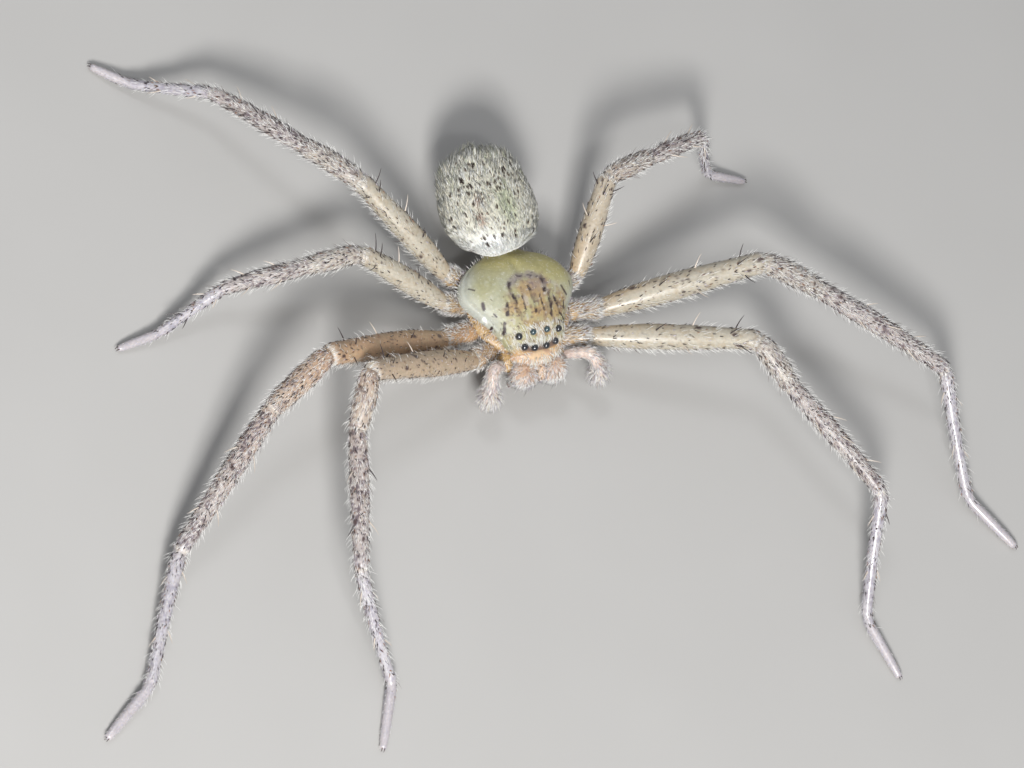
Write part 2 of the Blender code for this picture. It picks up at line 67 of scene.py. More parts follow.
# The abdomen
WAIST_Y = 4.75
ABDOMEN_LENGTH = 9.35
ABDOMEN_WIDTH = 8.95
ABDOMEN_HEIGHT = 6.3
ABDOMEN_CENTRE_Z = 5.5
ABDOMEN_TURN = math.radians(1.5)
ABDOMEN_OVERHANG = 1.3
ABDOMEN_SKEW = 0.21
ABDOMEN_FULLNESS = (0.0, 0.72, 0.90, 0.94, 0.93, 0.87, 0.79, 0.63, 0.0)
ABDOMEN_TIP = 0.62
ABDOMEN_TIP_X = -2.7
ABDOMEN_CUT = 0.08
ABDOMEN_COAT = 0.14
ABDOMEN_RINGS, ABDOMEN_COLUMNS = 170, 150

# The legs, from the first to the fourth
HIP_HALF_WIDTH = (5.6, 7.6, 6.4, 5.3)
HIP_Y = (-3.8, -1.6, 1.5, 3.9)
HIP_Z = 4.2
COXA_INNER_HALF_WIDTH = (2.5, 3.0, 3.0, 2.5)
COXA_INNER_Y = (-2.75, -0.95, 0.95, 2.65)
COXA_INNER_Z = 3.3
FEMUR_LENGTH = (14.3, 14.3, 8.8, 11.3)
PATELLA_LENGTH = (4.9, 6.6, 5.0, 5.5)
TIBIA_LENGTH = (11.7, 13.7, 7.0, 8.9)
METATARSUS_LENGTH = (10.8, 11.4, 6.4, 7.1)
TARSUS_LENGTH = (5.5, 5.7, 3.6, 3.2)
LEG_THICKNESS = (1.0, 1.05, 0.92, 0.96)
ANKLE_Z = 0.85
TOE_Z = 0.33
SEGMENT_FLATNESS = 0.92

# How each leg is held. A turn of 0 degrees points ahead, 90 straight out and 180 back.
TURN = {
    ("right", 1): (86, 25, 17, -19, 27),
    ("right", 2): (87, 62, 48, 29, 56),
    ("right", 3): (126, 91, 92, 71, 83),
    ("right", 4): (141, 142, 145, 121, 132),
    ("left", 1): (71, 25, 26, -14, 14),
    ("left", 2): (87, 65, 50, 4, 32),
    ("left", 3): (151, 103, 102, 58, 73),
}
RISE = {
    ("right", 1): (26, -24, -5),
    ("right", 2): (21, -16, -21),
    ("right", 3): (14, -11, -17),
    ("right", 4): (19, -11, -18),
    ("left", 1): (16, -10, -3),
    ("left", 2): (24, -20, -8),
    ("left", 3): (29, -6, -12),
}
SEGMENTS = ("coxa", "femur", "patella", "tibia", "metatarsus", "tarsus")

# For each segment: half thickness at even steps, coat depth, bow, and the length and lift of its
# hair. Then how many hairs of each kind grow on a square millimetre, by place along the leg.
RADIUS = {
    "coxa": (0.52, 0.7, 0.86, 0.96, 0.88, 0.95, 0.86),
    "femur": (0.84, 1.05, 1.17, 1.17, 1.1, 1.0, 0.96),
    "patella": (0.95, 1.05, 1.08, 1.02, 0.93),
    "tibia": (0.86, 0.95, 0.96, 0.9, 0.82, 0.76),
    "metatarsus": (0.68, 0.66, 0.6, 0.56, 0.55, 0.56),
    "tarsus": (0.52, 0.53, 0.53, 0.52, 0.5, 0.42),
}
COAT_DEPTH = (0.06, 0.09, 0.14, 0.15, 0.12, 0.13)
BOW = (0.0, 0.015, 0.03, 0.015, -0.02, 0.0)
HAIR_LENGTH = (0.56, 0.62, 0.5, 0.48, 0.42, 0.3)
HAIR_LIFT = (0.7, 0.12, 0.24, 0.26, 0.5, 0.5)
HAIR_PLACES = (0, 0.35, 0.6, 0.95, 1.1, 1.7, 2.0, 2.2, 4.0, 4.6, 5.0, 6.0)
HAIRS_PER_MM2 = (6, 34, 60, 66, 52, 50, 40, 36, 34, 26, 20, 16)
BRISTLE_PLACES = (0, 0.8, 1, 2, 3, 4, 5, 5.3, 6)
BRISTLES_PER_MM2 = (0, 5, 5, 9, 11, 9, 3, 0, 0)
DASH_PLACES = (0, 0.9, 1.1, 1.9, 2.1, 3.9, 5, 5.3, 6)
DASHES_PER_MM2 = (0, 0, 2.2, 2.6, 6, 6, 4, 0, 0)
BRUSH_PER_MM2 = 60

# A leg's rings: their spacing and columns, how far a corner is rounded off, how far the surface
# goes past the toe, how deep each joint is cut, and what is left of a leg that is only a hip piece
LEG_SPACING = 0.13
LEG_COLUMNS = 48
CORNER_ROUNDING = 0.95
PAST_TOE = 0.24
JOINT_DEPTH = (0.10, 0.13, 0.10, 0.16, 0.08)
STUMP_CUT = 1.1
STUMP_SHARE = 0.75

# Chances of white, cream, lilac, brown and dark hair for each segment, and their change on a blotch
LEG_HAIR_CHANCES = (
    (0.74, 0.02, 0.18, 0.02, 0.04),
    (0.86, 0.10, 0.02, 0.01, 0.01),
    (0.74, 0.12, 0.08, 0.02, 0.04),
    (0.66, 0.06, 0.14, 0.04, 0.10),
    (0.50, 0.00, 0.20, 0.05, 0.25),
    (0.60, 0.00, 0.30, 0.02, 0.08),
)
BLOTCH_HAIR_CHANGE = (-0.3, -0.08, 0.02, 0.18, 0.18)

# The spines of each segment: share along it, and degrees from its top, positive to the rear
SPINES = {
    "femur": ((0.37, 8), (0.84, 12), (0.56, -62), (0.6, 62), (0.86, -60), (0.88, 64)),
    "tibia": ((0.28, -68), (0.32, 68), (0.68, -66), (0.72, 66), (0.5, 0)),
    "metatarsus": ((0.16, -78), (0.2, 78), (0.58, -74), (0.62, 74)),
}
SPINE_LENGTH = {"femur": 1.55, "tibia": 1.5, "metatarsus": 1.25}
SPINE_LIFT = {"femur": 1.12, "tibia": 0.75, "metatarsus": 0.68}
SPINE_HORN = (0.66, 0.58, 0.5)

# Each kind of strand: length, width, lift and bend. A pair is a value and the share it varies by.
STRANDS = {
    "soft part": ((0.42, 0.4), 0.042, (0.6, 0.4), 0.4),
    "face": ((0.65, 0.4), 0.05, (0.5, 0.4), 0.4),
    "brow": ((0.52, 0.4), 0.044, (0.36, 0.4), 0.4),
    "chest down": ((0.2, 0.4), 0.026, 0.5, 0.4),
    "head bristle": ((0.42, 0.35), 0.04, 0.8, 0.4),
    "rim fringe": ((0.4, 0.35), 0.036, 0.5, 0.3),
    "leg bristle": ((0.72, 0.45), 0.036, (0.8, 0.35), 0.5),
    "leg dash": ((0.3, 0.4), (0.085, 0.3), (0.35, 0.3), 0.2),
    "jaw bristle": ((1.0, 0.3), 0.04, (0.6, 0.35), 0.5),
    "claw": (0.42, 0.09, 0.35, 1.7),
}

# Where along a strand its rings are, with the last one as its tip
BRISTLE_LEVELS = (0.0, 0.35, 0.7, 1.0)
SPINE_LEVELS = (0.0, 0.15, 0.35, 0.55, 0.75, 0.9, 1.0)
CLAW_LEVELS = (0.0, 0.2, 0.4, 0.6, 0.8, 0.92, 1.0)

# The palps, the jaws and the fangs
PALP_LENGTHS = (1.8, 0.8, 1.0, 1.4)
PALP_RADIUS = (0.5, 0.62, 0.66, 0.7, 0.68, 0.76, 0.95, 0.9)
PALP_ROOT = (2.95, -4.75, 3.75)
PALP_TURN = {"right": (78, 40, 14, 4), "left": (66, 52, 36, 30)}
PALP_RISE = {"right": (44, -4, -40, -52), "left": (42, 12, -34, -58)}
PALP_COAT = 0.16
PALP_RINGS, PALP_COLUMNS = 60, 40
JAW_HALF_SPACING = 1.42
JAW_RADIUS = 1.24
JAW_AHEAD = 1.0
JAW_TOP_Z = 4.9
JAW_BOTTOM_Z = 2.2
JAW_COAT = 0.12
JAW_RINGS, JAW_COLUMNS = 56, 56
FANG_RADIUS = 0.34
FANG_SWING = math.radians(80)

# The face, the eyes, and how far hair keeps from them and from the band between the front ones
FACE_HALF_WIDTH = 2.35
FACE_Y = -4.35
FACE_Z = 4.55
FACE_RADIUS = 0.95
FACE_RINGS, FACE_COLUMNS = 60, 90
EYE_NODES = tuple(
    f"eye_{row}_{place}_{side}"
    for row in ("front", "rear") for place in ("middle", "side") for side in ("left", "right")
)
EYE_CLEARANCE = 0.36
BAND_CLEARANCE = 0.22

# Hairs on a square millimetre, where they are densest
BROW_PER_MM2 = 125
FACE_PER_MM2 = 76
DOWN_PER_MM2 = 7
HEAD_BRISTLES_PER_MM2 = 3.2
FRINGE_PER_MM2 = 16
FLANK_PER_MM2 = 42
MOUTH_PER_MM2 = 34
JAW_SKIN_PER_MM2 = 60
JAW_PER_MM2 = 118
JAW_BRISTLES_PER_MM2 = 12
ABDOMEN_PER_MM2 = 148
ABDOMEN_FRONT_MORE = 85
PALP_PLACES = (0, 0.1, 0.5, 0.75, 1)
PALP_PER_MM2 = (30, 50, 60, 110, 140)

# The camera, aimed at a point on the floor, and its roll to the left
CAMERA_AIM = Vector((2.4, -1.0, 0.0)) * MM
CAMERA_DISTANCE = 0.5323
CAMERA_AZIMUTH = math.radians(-153.26)
CAMERA_ELEVATION = math.radians(57.24)
CAMERA_ROLL = math.radians(47.09)
CAMERA_LENS = 224.6

# Hair and shell colours
SNOW = (0.88, 0.89, 0.86)
WHITE = (0.90, 0.90, 0.88)
CREAM = (0.84, 0.80, 0.66)
STRAW = (0.66, 0.58, 0.42)
LILAC = (0.54, 0.49, 0.55)
GREY = (0.42, 0.42, 0.38)
BROWN = (0.27, 0.15, 0.10)
DARK = (0.05, 0.038, 0.04)
FLECK = (0.075, 0.055, 0.045)
AMBER = (0.41, 0.27, 0.12)
PEACH = (0.56, 0.40, 0.28)
MOSS = (0.56, 0.60, 0.42)
RUST = (0.19, 0.10, 0.07)
BRISTLE_BLACK = (0.13, 0.09, 0.08)
HEAD_BLACK = (0.09, 0.06, 0.05)
BRUSH_COLOURS = ((0.58, 0.56, 0.62), (0.46, 0.44, 0.50), (0.74, 0.73, 0.78))

# Colours of the carapace and the head's patch on it
CHEST_OLIVE = (0.34, 0.33, 0.19)
CHEST_SAGE = (0.37, 0.37, 0.265)
CHEST_TAN = (0.43, 0.385, 0.165)
CHEST_EDGE = (0.45, 0.47, 0.44)
CHEST_DOT = (0.56, 0.56, 0.48)
CHEST_UNDER = (0.55, 0.47, 0.3)
CHEST_LINE = (0.04, 0.026, 0.028)
# White of the painted highlight along the head's right rim
CHEST_PAINTED_HIGHLIGHT = (0.92, 0.94, 0.92)
ARC_HAZE = (0.22, 0.18, 0.21)
HEAD_YELLOW = (0.38, 0.35, 0.20)
HEAD_OCHRE = (0.38, 0.26, 0.12)
HEAD_MOTTLE = (0.24, 0.155, 0.10)
HEAD_BLOOM = (0.50, 0.48, 0.47)
HEAD_DOT = (0.14, 0.09, 0.08)
BROW_ORANGE = (0.50, 0.30, 0.14)
EYE_BAND = (0.10, 0.07, 0.07)
FACE_PALE = (0.60, 0.43, 0.27)
FACE_ORANGE = (0.50, 0.33, 0.22)

# Colours of the sac, the legs and the mouth parts
SAC_CREAM = (0.62, 0.60, 0.50)
SAC_GREY = (0.52, 0.51, 0.44)
SAC_WHITE = (0.8, 0.81, 0.79)
SAC_GREEN = (0.42, 0.47, 0.30)
SAC_RED = (0.28, 0.15, 0.11)
FLECK_FAINT = (0.24, 0.18, 0.14)
WAIST_SKIN = (0.55, 0.45, 0.28)
SPINNERET_SKIN = (0.5, 0.42, 0.3)
SPINNERET_TIP = (0.2, 0.15, 0.13)
# Warm brown near the body on some legs: part own colour, part painted reflected light and painted shade
LEG_WARM_BOUNCE_TINT = (0.43, 0.25, 0.13)
LEG_UNDER = (0.56, 0.53, 0.49)
FEMUR_WARM = (0.48, 0.33, 0.17)
JOINT_PALE = (0.68, 0.63, 0.56)
LEG_SPOT = (0.06, 0.035, 0.035)
PALP_PALE = (0.66, 0.53, 0.45)
PALP_DULL = (0.5, 0.41, 0.38)
JAW_PALE = (0.51, 0.38, 0.30)
JAW_BROWN = (0.45, 0.30, 0.20)
JAW_DARK = (0.2, 0.11, 0.09)
LIP_BROWN = (0.45, 0.25, 0.12)
FANG_RED = (0.25, 0.07, 0.03)
FANG_BLACK = (0.03, 0.012, 0.01)
EYE_SOCKET = (0.05, 0.035, 0.03)
# A faint blue in the rear middle eyes: a painted reflection of their teal shine
EYE_BLUE_REFLECTION = (0.02, 0.05, 0.06)
EYE_BLACK = (0.006, 0.008, 0.014)


def middle(node):
    """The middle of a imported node's box, in millimetres."""
    low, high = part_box(node)
    return (np.array(low) + np.array(high)) / 2 / MM


def frame_shift():
    """Where the animal's own origin is in the model's frame: from the front middle pair of eyes."""
    brow = (middle("eye_front_middle_left") + middle("eye_front_middle_right")) / 2
    return np.array((brow[0], brow[1] - BROW_Y, 0.0))


SHIFT = frame_shift()


def smooth_curve(values, share):
    """Catmull-Rom curve through evenly spaced values: cubic pieces with slopes from the neighbours."""
    values = np.asarray(values, float)
    place = np.clip(share, 0, 1) * (len(values) - 1)
    left = np.minimum(place.astype(int), len(values) - 2)
    t = place - left
    before = values[np.maximum(left - 1, 0)]
    start, end = values[left], values[left + 1]
    after = values[np.minimum(left + 2, len(values) - 1)]
    return (
        (2 * t**3 - 3 * t**2 + 1) * start
        + (t**3 - 2 * t**2 + t) * (end - before) / 2
        + (3 * t**2 - 2 * t**3) * end
        + (t**3 - t**2) * (after - start) / 2
    )


def unit(vectors):
    """Vectors divided by their length."""
    return vectors / np.maximum(np.linalg.norm(vectors, axis=-1, keepdims=True), 1e-9)


def step(low, high, values):
    """A smooth rise from 0 at low to 1 at high: 3t^2 - 2t^3."""
    t = np.clip((values - low) / (high - low), 0, 1)
    return t * t * (3 - 2 * t)


def hill(values, centre, half_width):
    """A bell that is 1 at centre and falls as exp(-d^2) over half_width."""
    return np.exp(-(((values - centre) / half_width) ** 2))


def mix(first, second, share):
    """Colours blended from first to second by a share for each point."""
    share = np.asarray(share)[..., None]
    return np.asarray(first) * (1 - share) + np.asarray(second) * share


def layered(colour, layers):
    """A colour with others laid over it in turn, each blended in by its own share."""
    for other, share in layers:
        colour = mix(colour, other, share)
    return colour


def lattice_noise(points, size, seed):
    """Smooth random values from 0 to 1: random numbers on a lattice of this size, blended between."""
    table = np.random.default_rng(seed).random((64, 64, 64))
    place = points / size
    cell = np.floor(place).astype(int)
    t = place - cell
    t = t * t * (3 - 2 * t)
    total = 0
    for corner in range(8):
        offset = np.array(((corner >> 2) & 1, (corner >> 1) & 1, corner & 1))
        weight = np.prod(np.where(offset, t, 1 - t), axis=-1)
        index = (cell + offset) % 64
        total = total + weight * table[index[..., 0], index[..., 1], index[..., 2]]
    return total


def ring_angles(count):
    """Angles evenly round a ring: a whole turn times 0, 1, 2 and so on, over their count."""
    return 2 * np.pi * np.arange(count) / count


def signed_angles(count):
    """The same angles, with those of the second half counted back from 0."""
    return np.angle(np.exp(1j * ring_angles(count)))


def crowded_shares(rows, gap):
    """A column of shares that crowd towards 0 and 1: half of 1 minus the cosine of even angles,
    which start and end by a gap, as a share of half a turn, from its ends."""
    return 0.5 - 0.5 * np.cos(np.pi * (gap + (1 - 2 * gap) * np.arange(rows) / (rows - 1)))[:, None]


def cross_axes(ahead):
    """The level axis at right angles to a direction, and the upper one at right angles to both."""
    level = unit(np.cross((0.0, 0.0, 1.0), ahead))
    return level, np.cross(ahead, level)


def heading(side, turn, rise):
    """A unit vector from a turn away from straight ahead and a rise from the level, in degrees."""
    outward = OUTWARD[side]
    turn, rise = math.radians(turn), math.radians(rise)
    level = math.cos(rise)
    return np.array(
        (outward * math.sin(turn) * level, -math.cos(turn) * level, math.sin(rise))
    )


def build_mesh(name, points, corners, starts, tint, look, uv=None, masks=None):
    """Puts vertex, corner and face-start arrays into a mesh piece in metres that rides on the body."""
    mesh = bpy.data.meshes.new(name)
    mesh.vertices.add(len(points))
    mesh.vertices.foreach_set("co", ((points + SHIFT) * MM).astype(np.float32).ravel())
    mesh.loops.add(len(corners))
    mesh.loops.foreach_set("vertex_index", corners.astype(np.int32))
    mesh.polygons.add(len(starts))
    mesh.polygons.foreach_set("loop_start", starts.astype(np.int32))
    mesh.update(calc_edges=True)
    if uv is not None:
        layer = mesh.uv_layers.new(name="OFBake")
        layer.data.foreach_set("uv", uv.astype(np.float32).ravel())
    colour = mesh.attributes.new("tint", "FLOAT_COLOR", "POINT")
    rgba = np.ones((len(points), 4), np.float32)
    rgba[:, :3] = np.clip(tint, 0, 1)
    colour.data.foreach_set("color", rgba.ravel())
    for mask, values in (masks or {}).items():
        attribute = mesh.attributes.new(mask, "FLOAT", "POINT")
        attribute.data.foreach_set("value", values.astype(np.float32).ravel())
    mesh.shade_smooth()
    mesh.materials.append(look)
    piece = bpy.data.objects.new(name, mesh)
    bpy.context.scene.collection.objects.link(piece)
    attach(piece, "root")
    return piece


def closed_grid(name, grid, poles, tint, look, masks=None):
    """A closed surface from rows of rings: quads between rings and a fan to a pole at each end."""
    rows, columns = grid.shape[:2]
    points = np.concatenate((grid.reshape(-1, 3), np.array(poles, float)))
    i = np.arange(rows - 1)[:, None] * columns
    j = np.arange(columns)[None, :]
    k = (j + 1) % columns
    quads = np.stack((i + j, i + k, i + columns + k, i + columns + j), -1).reshape(-1, 4)
    ring = np.arange(columns)
    after = (ring + 1) % columns
    last = (rows - 1) * columns
    first_fan = np.stack((after, ring, np.full(columns, rows * columns)), -1)
    last_fan = np.stack((last + ring, last + after, np.full(columns, rows * columns + 1)), -1)
    fans = np.concatenate((first_fan, last_fan))
    a, b, c, d = (points[quads[:, n]] for n in range(4))
    volume = np.sum(a * np.cross(b, c)) + np.sum(a * np.cross(c, d))
    if volume < 0:
        quads, fans = quads[:, ::-1], fans[:, ::-1]
    corners = np.concatenate((quads.ravel(), fans.ravel()))
    starts = np.concatenate(
        (np.arange(len(quads)) * 4, len(quads) * 4 + np.arange(len(fans)) * 3)
    )
    flat_tint = tint.reshape(-1, 3)
    tints = np.concatenate((flat_tint, flat_tint[:1], flat_tint[-1:]))
    full = {
        mask: np.concatenate((v.ravel(), v.ravel()[:1], v.ravel()[-1:]))
        for mask, v in (masks or {}).items()
    }
    return build_mesh(name, points, corners, starts, tints, look, masks=full)


def surface_axes(grid, centres):
    """Outward normals and the directions along the rows and round the rings, from differences."""
    along = np.gradient(grid, axis=0)
    around = (np.roll(grid, -1, axis=1) - np.roll(grid, 1, axis=1)) / 2
    out = unit(np.cross(along, around))
    outward = np.sum(out * (grid - centres), axis=-1, keepdims=True)
    return np.where(outward < 0, -out, out), unit(along)


def scatter(grid, centres, density, draw):
    """Roots on a grid surface: cells are drawn in step with area times density, then a place in each."""
    out, along = surface_axes(grid, centres)
    closed = np.concatenate((grid, grid[:, :1]), axis=1)
    down = closed[1:, :-1] - closed[:-1, :-1]
    over = closed[:-1, 1:] - closed[:-1, :-1]
    area = np.linalg.norm(np.cross(down, over), axis=-1)
    weight = area * np.broadcast_to(density, grid.shape[:2])[:-1]
    count = int(weight.sum())
    columns = grid.shape[1]
    cell = np.sort(draw.choice(weight.size, count, p=weight.ravel() / weight.sum()))
    row, column = cell // columns, cell % columns
    a, b = draw.random(count), draw.random(count)
    right = (column + 1) % columns

    def between(values):
        """Values at the roots, blended from the corners of each one's cell."""
        top = values[row, column] * (1 - b[:, None]) + values[row, right] * b[:, None]
        bottom = values[row + 1, column] * (1 - b[:, None]) + values[row + 1, right] * b[:, None]
        return top * (1 - a[:, None]) + bottom * a[:, None]

    return {
        "root": between(grid),
        "out": unit(between(out)),
        "lie": unit(between(along)),
        "row": row + a,
        "column": column + b,
        "uv": np.stack(((row + a) / grid.shape[0], (column + b) / columns), -1),
        "count": count,
    }


def spread(values, count, draw, share):
    """Each value varied by a random share of itself."""
    return np.broadcast_to(values, count) * (1 + share * (2 * draw.random(count) - 1))


def for_each(value, count, draw):
    """A value for each hair: a pair is a value and the random share it varies by."""
    if isinstance(value, tuple):
        value = spread(value[0], count, draw, value[1])
    return np.broadcast_to(value, count)[:, None]


def strands(name, hair, length, width, lift, bend, tint, body_slot, draw, look=None, tip=None,
            sides=3, levels=(0.0, 0.5, 1.0), sink=0.05):
    """Tapered strands. Each starts at its root, heads along lie at an angle lift above it, turns
    towards lie by bend over its length, and thins from its width as 1 - 0.8 t^2 to a point."""
    count = hair["count"]
    length, width, lift, bend = (for_each(value, count, draw) for value in (length, width, lift, bend))
    tip = tint if tip is None else tip
    root, lie, out = hair["root"], hair["lie"], hair["out"]
    side = unit(np.cross(lie, out))
    turn = (ring_angles(sides) + np.pi / 2)[None, :, None]
    centre = root - out * sink
    rings = []
    last = 0.0
    for level in levels:
        angle = lift - bend * (level + last) / 2
        centre = centre + (length * (level - last)) * (lie * np.cos(angle) + out * np.sin(angle))
        last = level
        if level == levels[-1]:
            break
        angle = lift - bend * level
        over = np.cross(lie * np.cos(angle) + out * np.sin(angle), side)
        size = (width / 2 * (1 - 0.8 * level**2))[:, None, :]
        around = side[:, None, :] * np.cos(turn) + over[:, None, :] * np.sin(turn)
        rings.append(centre[:, None, :] + size * around)
    points = np.concatenate(rings + [centre[:, None, :]], axis=1)
    points[..., 2] = np.maximum(points[..., 2], FLOOR_CLEARANCE)
    each = points.shape[1]
    ring_count = len(levels) - 1
    i = np.arange(sides)
    j = (i + 1) % sides
    quads = [
        np.stack((k * sides + i, k * sides + j, (k + 1) * sides + j, (k + 1) * sides + i), -1)
        for k in range(ring_count - 1)
    ]
    last_ring = (ring_count - 1) * sides
    fan = np.stack((last_ring + i, last_ring + j, np.full(sides, each - 1)), -1)
    pattern = np.concatenate([faces.ravel() for faces in (*quads, fan)] + [i[::-1]])
    sizes = np.array([4] * (sides * (ring_count - 1)) + [3] * sides + [sides])
    corners = (np.arange(count)[:, None] * each + pattern[None, :]).ravel()
    begin = np.concatenate(([0], np.cumsum(sizes)[:-1]))
    starts = (np.arange(count)[:, None] * len(pattern) + begin[None, :]).ravel()
    share = np.concatenate([np.full(sides, level) for level in levels[:-1]] + [[1.0]])
    # A strand's colour runs from its root tint to its tip tint. Where a call gives a darker root tint,
    # that is painted shade deep in the coat, where the hairs shade one another.
    tints = tint[:, None, :] * (1 - share[None, :, None]) + tip[:, None, :] * share[None, :, None]
    patch = np.stack((share, np.concatenate([i / sides] * ring_count + [[0.5]])), -1)
    uv = 0.002 + 0.992 * hair["uv"][:, None, :] + 0.003 * patch[pattern][None, :, :]
    return build_mesh(name, points.reshape(-1, 3), corners, starts, tints.reshape(-1, 3),
                      look or HAIR, uv=uv.reshape(-1, 2))


def turned(hair, sway):
    """The same roots with each lie swung about its normal by an angle."""
    across = np.cross(hair["out"], hair["lie"])
    sway = np.broadcast_to(sway, hair["count"])[:, None]
    return {**hair, "lie": hair["lie"] * np.cos(sway) + across * np.sin(sway)}


def swayed(hair, amount, draw):
    """The same roots with each lie swung by a random angle, of this amount for the most part."""
    return turned(hair, draw.normal(0, amount, hair["count"]))


def hung(hair, down):
    """The same roots, each lie set to the part of a direction that runs over the surface."""
    out = hair["out"]
    return {**hair, "lie": unit(down - out * np.sum(down * out, axis=1, keepdims=True))}


def bundle(roots, lies, outs, margin):
    """Roots for strands that are placed one by one, evenly over the texture between its margins."""
    count = len(roots)
    uv = np.stack((np.linspace(margin, 1 - margin, count), np.full(count, 0.5)), -1)
    return {"root": np.array(roots), "lie": np.array(lies), "out": np.array(outs), "uv": uv,
            "count": count}


def chosen(hair, keep):
    """Only the roots where keep is true."""
    picked = {key: hair[key][keep] for key in ("root", "out", "lie", "row", "column", "uv")}
    picked["count"] = int(keep.sum())
    return picked


def palette_tint(hair, colours, chances, draw):
    """A colour for each hair, drawn by one row of chances or by its own, with a little change in
    brightness."""
    count = hair["count"]
    edges = np.cumsum(np.broadcast_to(chances, (count, len(colours))), axis=1)
    pick = (draw.random(count)[:, None] * edges[:, -1:] > edges).sum(axis=1)
    pick = np.minimum(pick, len(colours) - 1)
    return np.array(colours)[pick] * (0.86 + 0.28 * draw.random(count))[:, None]


def node_group(name, entries, result, kinds, values, joins):
    """A node group from tables: its inputs, its one output, its nodes with their kind and operation,
    the values of their inputs, and what feeds what."""
    group = bpy.data.node_groups.new(name, "ShaderNodeTree")
    for label, kind in entries:
        group.interface.new_socket(label, in_out="INPUT", socket_type=f"NodeSocket{kind}")
    group.interface.new_socket(result[0], in_out="OUTPUT", socket_type=f"NodeSocket{result[1]}")
    made = {
        "entry": group.nodes.new("NodeGroupInput"),
        "leave": group.nodes.new("NodeGroupOutput"),
    }
    for label, (kind, operation) in kinds.items():
        made[label] = group.nodes.new(f"ShaderNode{kind}")
        if operation:
            made[label].operation = operation
    for label, socket, value in values:
        made[label].inputs[socket].default_value = value
    for source, output, target, entry in joins:
        group.links.new(made[source].outputs[output], made[target].inputs[entry])
    return group


def set_inputs(node, values):
    """Sets the named inputs of a node."""
    for socket, value in values.items():
        node.inputs[socket].default_value = value


# Fine random change of a colour: its brightness times 1 plus or minus an amount
BREAKUP = node_group(
    "colour_breakup", (("Colour", "Color"), ("Size", "Float"), ("Amount", "Float")), ("Colour", "Color"),
    {"place": ("TexCoord", None), "noise": ("TexNoise", None), "fit": ("MapRange", None),
     "low": ("Math", "SUBTRACT"), "high": ("Math", "ADD"), "scaled": ("VectorMath", "SCALE")},
    (("noise", "Detail", 3), ("fit", "From Min", 0.3), ("fit", "From Max", 0.7), ("low", 0, 1.0),
     ("high", 0, 1.0)),
    (("place", "Object", "noise", "Vector"), ("entry", "Size", "noise", "Scale"),
     ("entry", "Amount", "low", 1), ("entry", "Amount", "high", 1), ("noise", "Fac", "fit", "Value"),
     ("low", 0, "fit", "To Min"), ("high", 0, "fit", "To Max"), ("entry", "Colour", "scaled", 0),
     ("fit", "Result", "scaled", "Scale"), ("scaled", "Vector", "leave", "Colour")),
)

# The height of a shell's fine relief, from soft folds and small pits
RELIEF = node_group(
    "shell_relief", (("Fold Size", "Float"), ("Pit Size", "Float"), ("Pit Depth", "Float")),
    ("Height", "Float"),
    {"place": ("TexCoord", None), "folds": ("TexNoise", None), "pits": ("TexVoronoi", None),
     "deep": ("Math", "MULTIPLY"), "total": ("Math", "ADD")},
    (("folds", "Detail", 4),),
    (("place", "Object", "folds", "Vector"), ("place", "Object", "pits", "Vector"),
     ("entry", "Fold Size", "folds", "Scale"), ("entry", "Pit Size", "pits", "Scale"),
     ("pits", "Distance", "deep", 0), ("entry", "Pit Depth", "deep", 1), ("folds", "Fac", "total", 0),
     ("deep", 0, "total", 1), ("total", 0, "leave", "Height")),
)


def finish_look(name, roughness, breakup, relief=None, coat=0.0, coat_roughness=0.1, glow=0.0,
                specular=0.5, shine=False):
    """A material whose colour is the piece's own tint, broken up finely, with optional relief. With
    shine, the piece's own shine mask is the weight of its clear coat."""
    made = bpy.data.materials.new(name)
    made.use_nodes = True
    nodes, links = made.node_tree.nodes, made.node_tree.links
    shader = nodes["Principled BSDF"]
    set_inputs(shader, {"Roughness": roughness, "Specular IOR Level": specular, "Coat Weight": coat,
                        "Coat Roughness": coat_roughness})
    if glow:
        set_inputs(shader, {"Subsurface Weight": glow, "Subsurface Radius": (1.0, 0.7, 0.4),
                            "Subsurface Scale": 0.4 * MM})
    tint = nodes.new("ShaderNodeAttribute")
    tint.attribute_name = "tint"
    colour = nodes.new("ShaderNodeGroup")
    colour.node_tree = BREAKUP
    set_inputs(colour, dict(zip(("Size", "Amount"), breakup)))
    links.new(tint.outputs["Color"], colour.inputs["Colour"])
    links.new(colour.outputs["Colour"], shader.inputs["Base Color"])
    if shine:
        mask = nodes.new("ShaderNodeAttribute")
        mask.attribute_name = "shine"
        links.new(mask.outputs["Fac"], shader.inputs["Coat Weight"])
    if relief:
        *sizes, strength = relief
        height = nodes.new("ShaderNodeGroup")
        height.node_tree = RELIEF
        set_inputs(height, dict(zip(("Fold Size", "Pit Size", "Pit Depth"), sizes)))
        bump = nodes.new("ShaderNodeBump")
        set_inputs(bump, {"Strength": strength, "Distance": 0.03 * MM})
        links.new(height.outputs["Height"], bump.inputs["Height"])
        links.new(bump.outputs["Normal"], shader.inputs["Normal"])
    return made


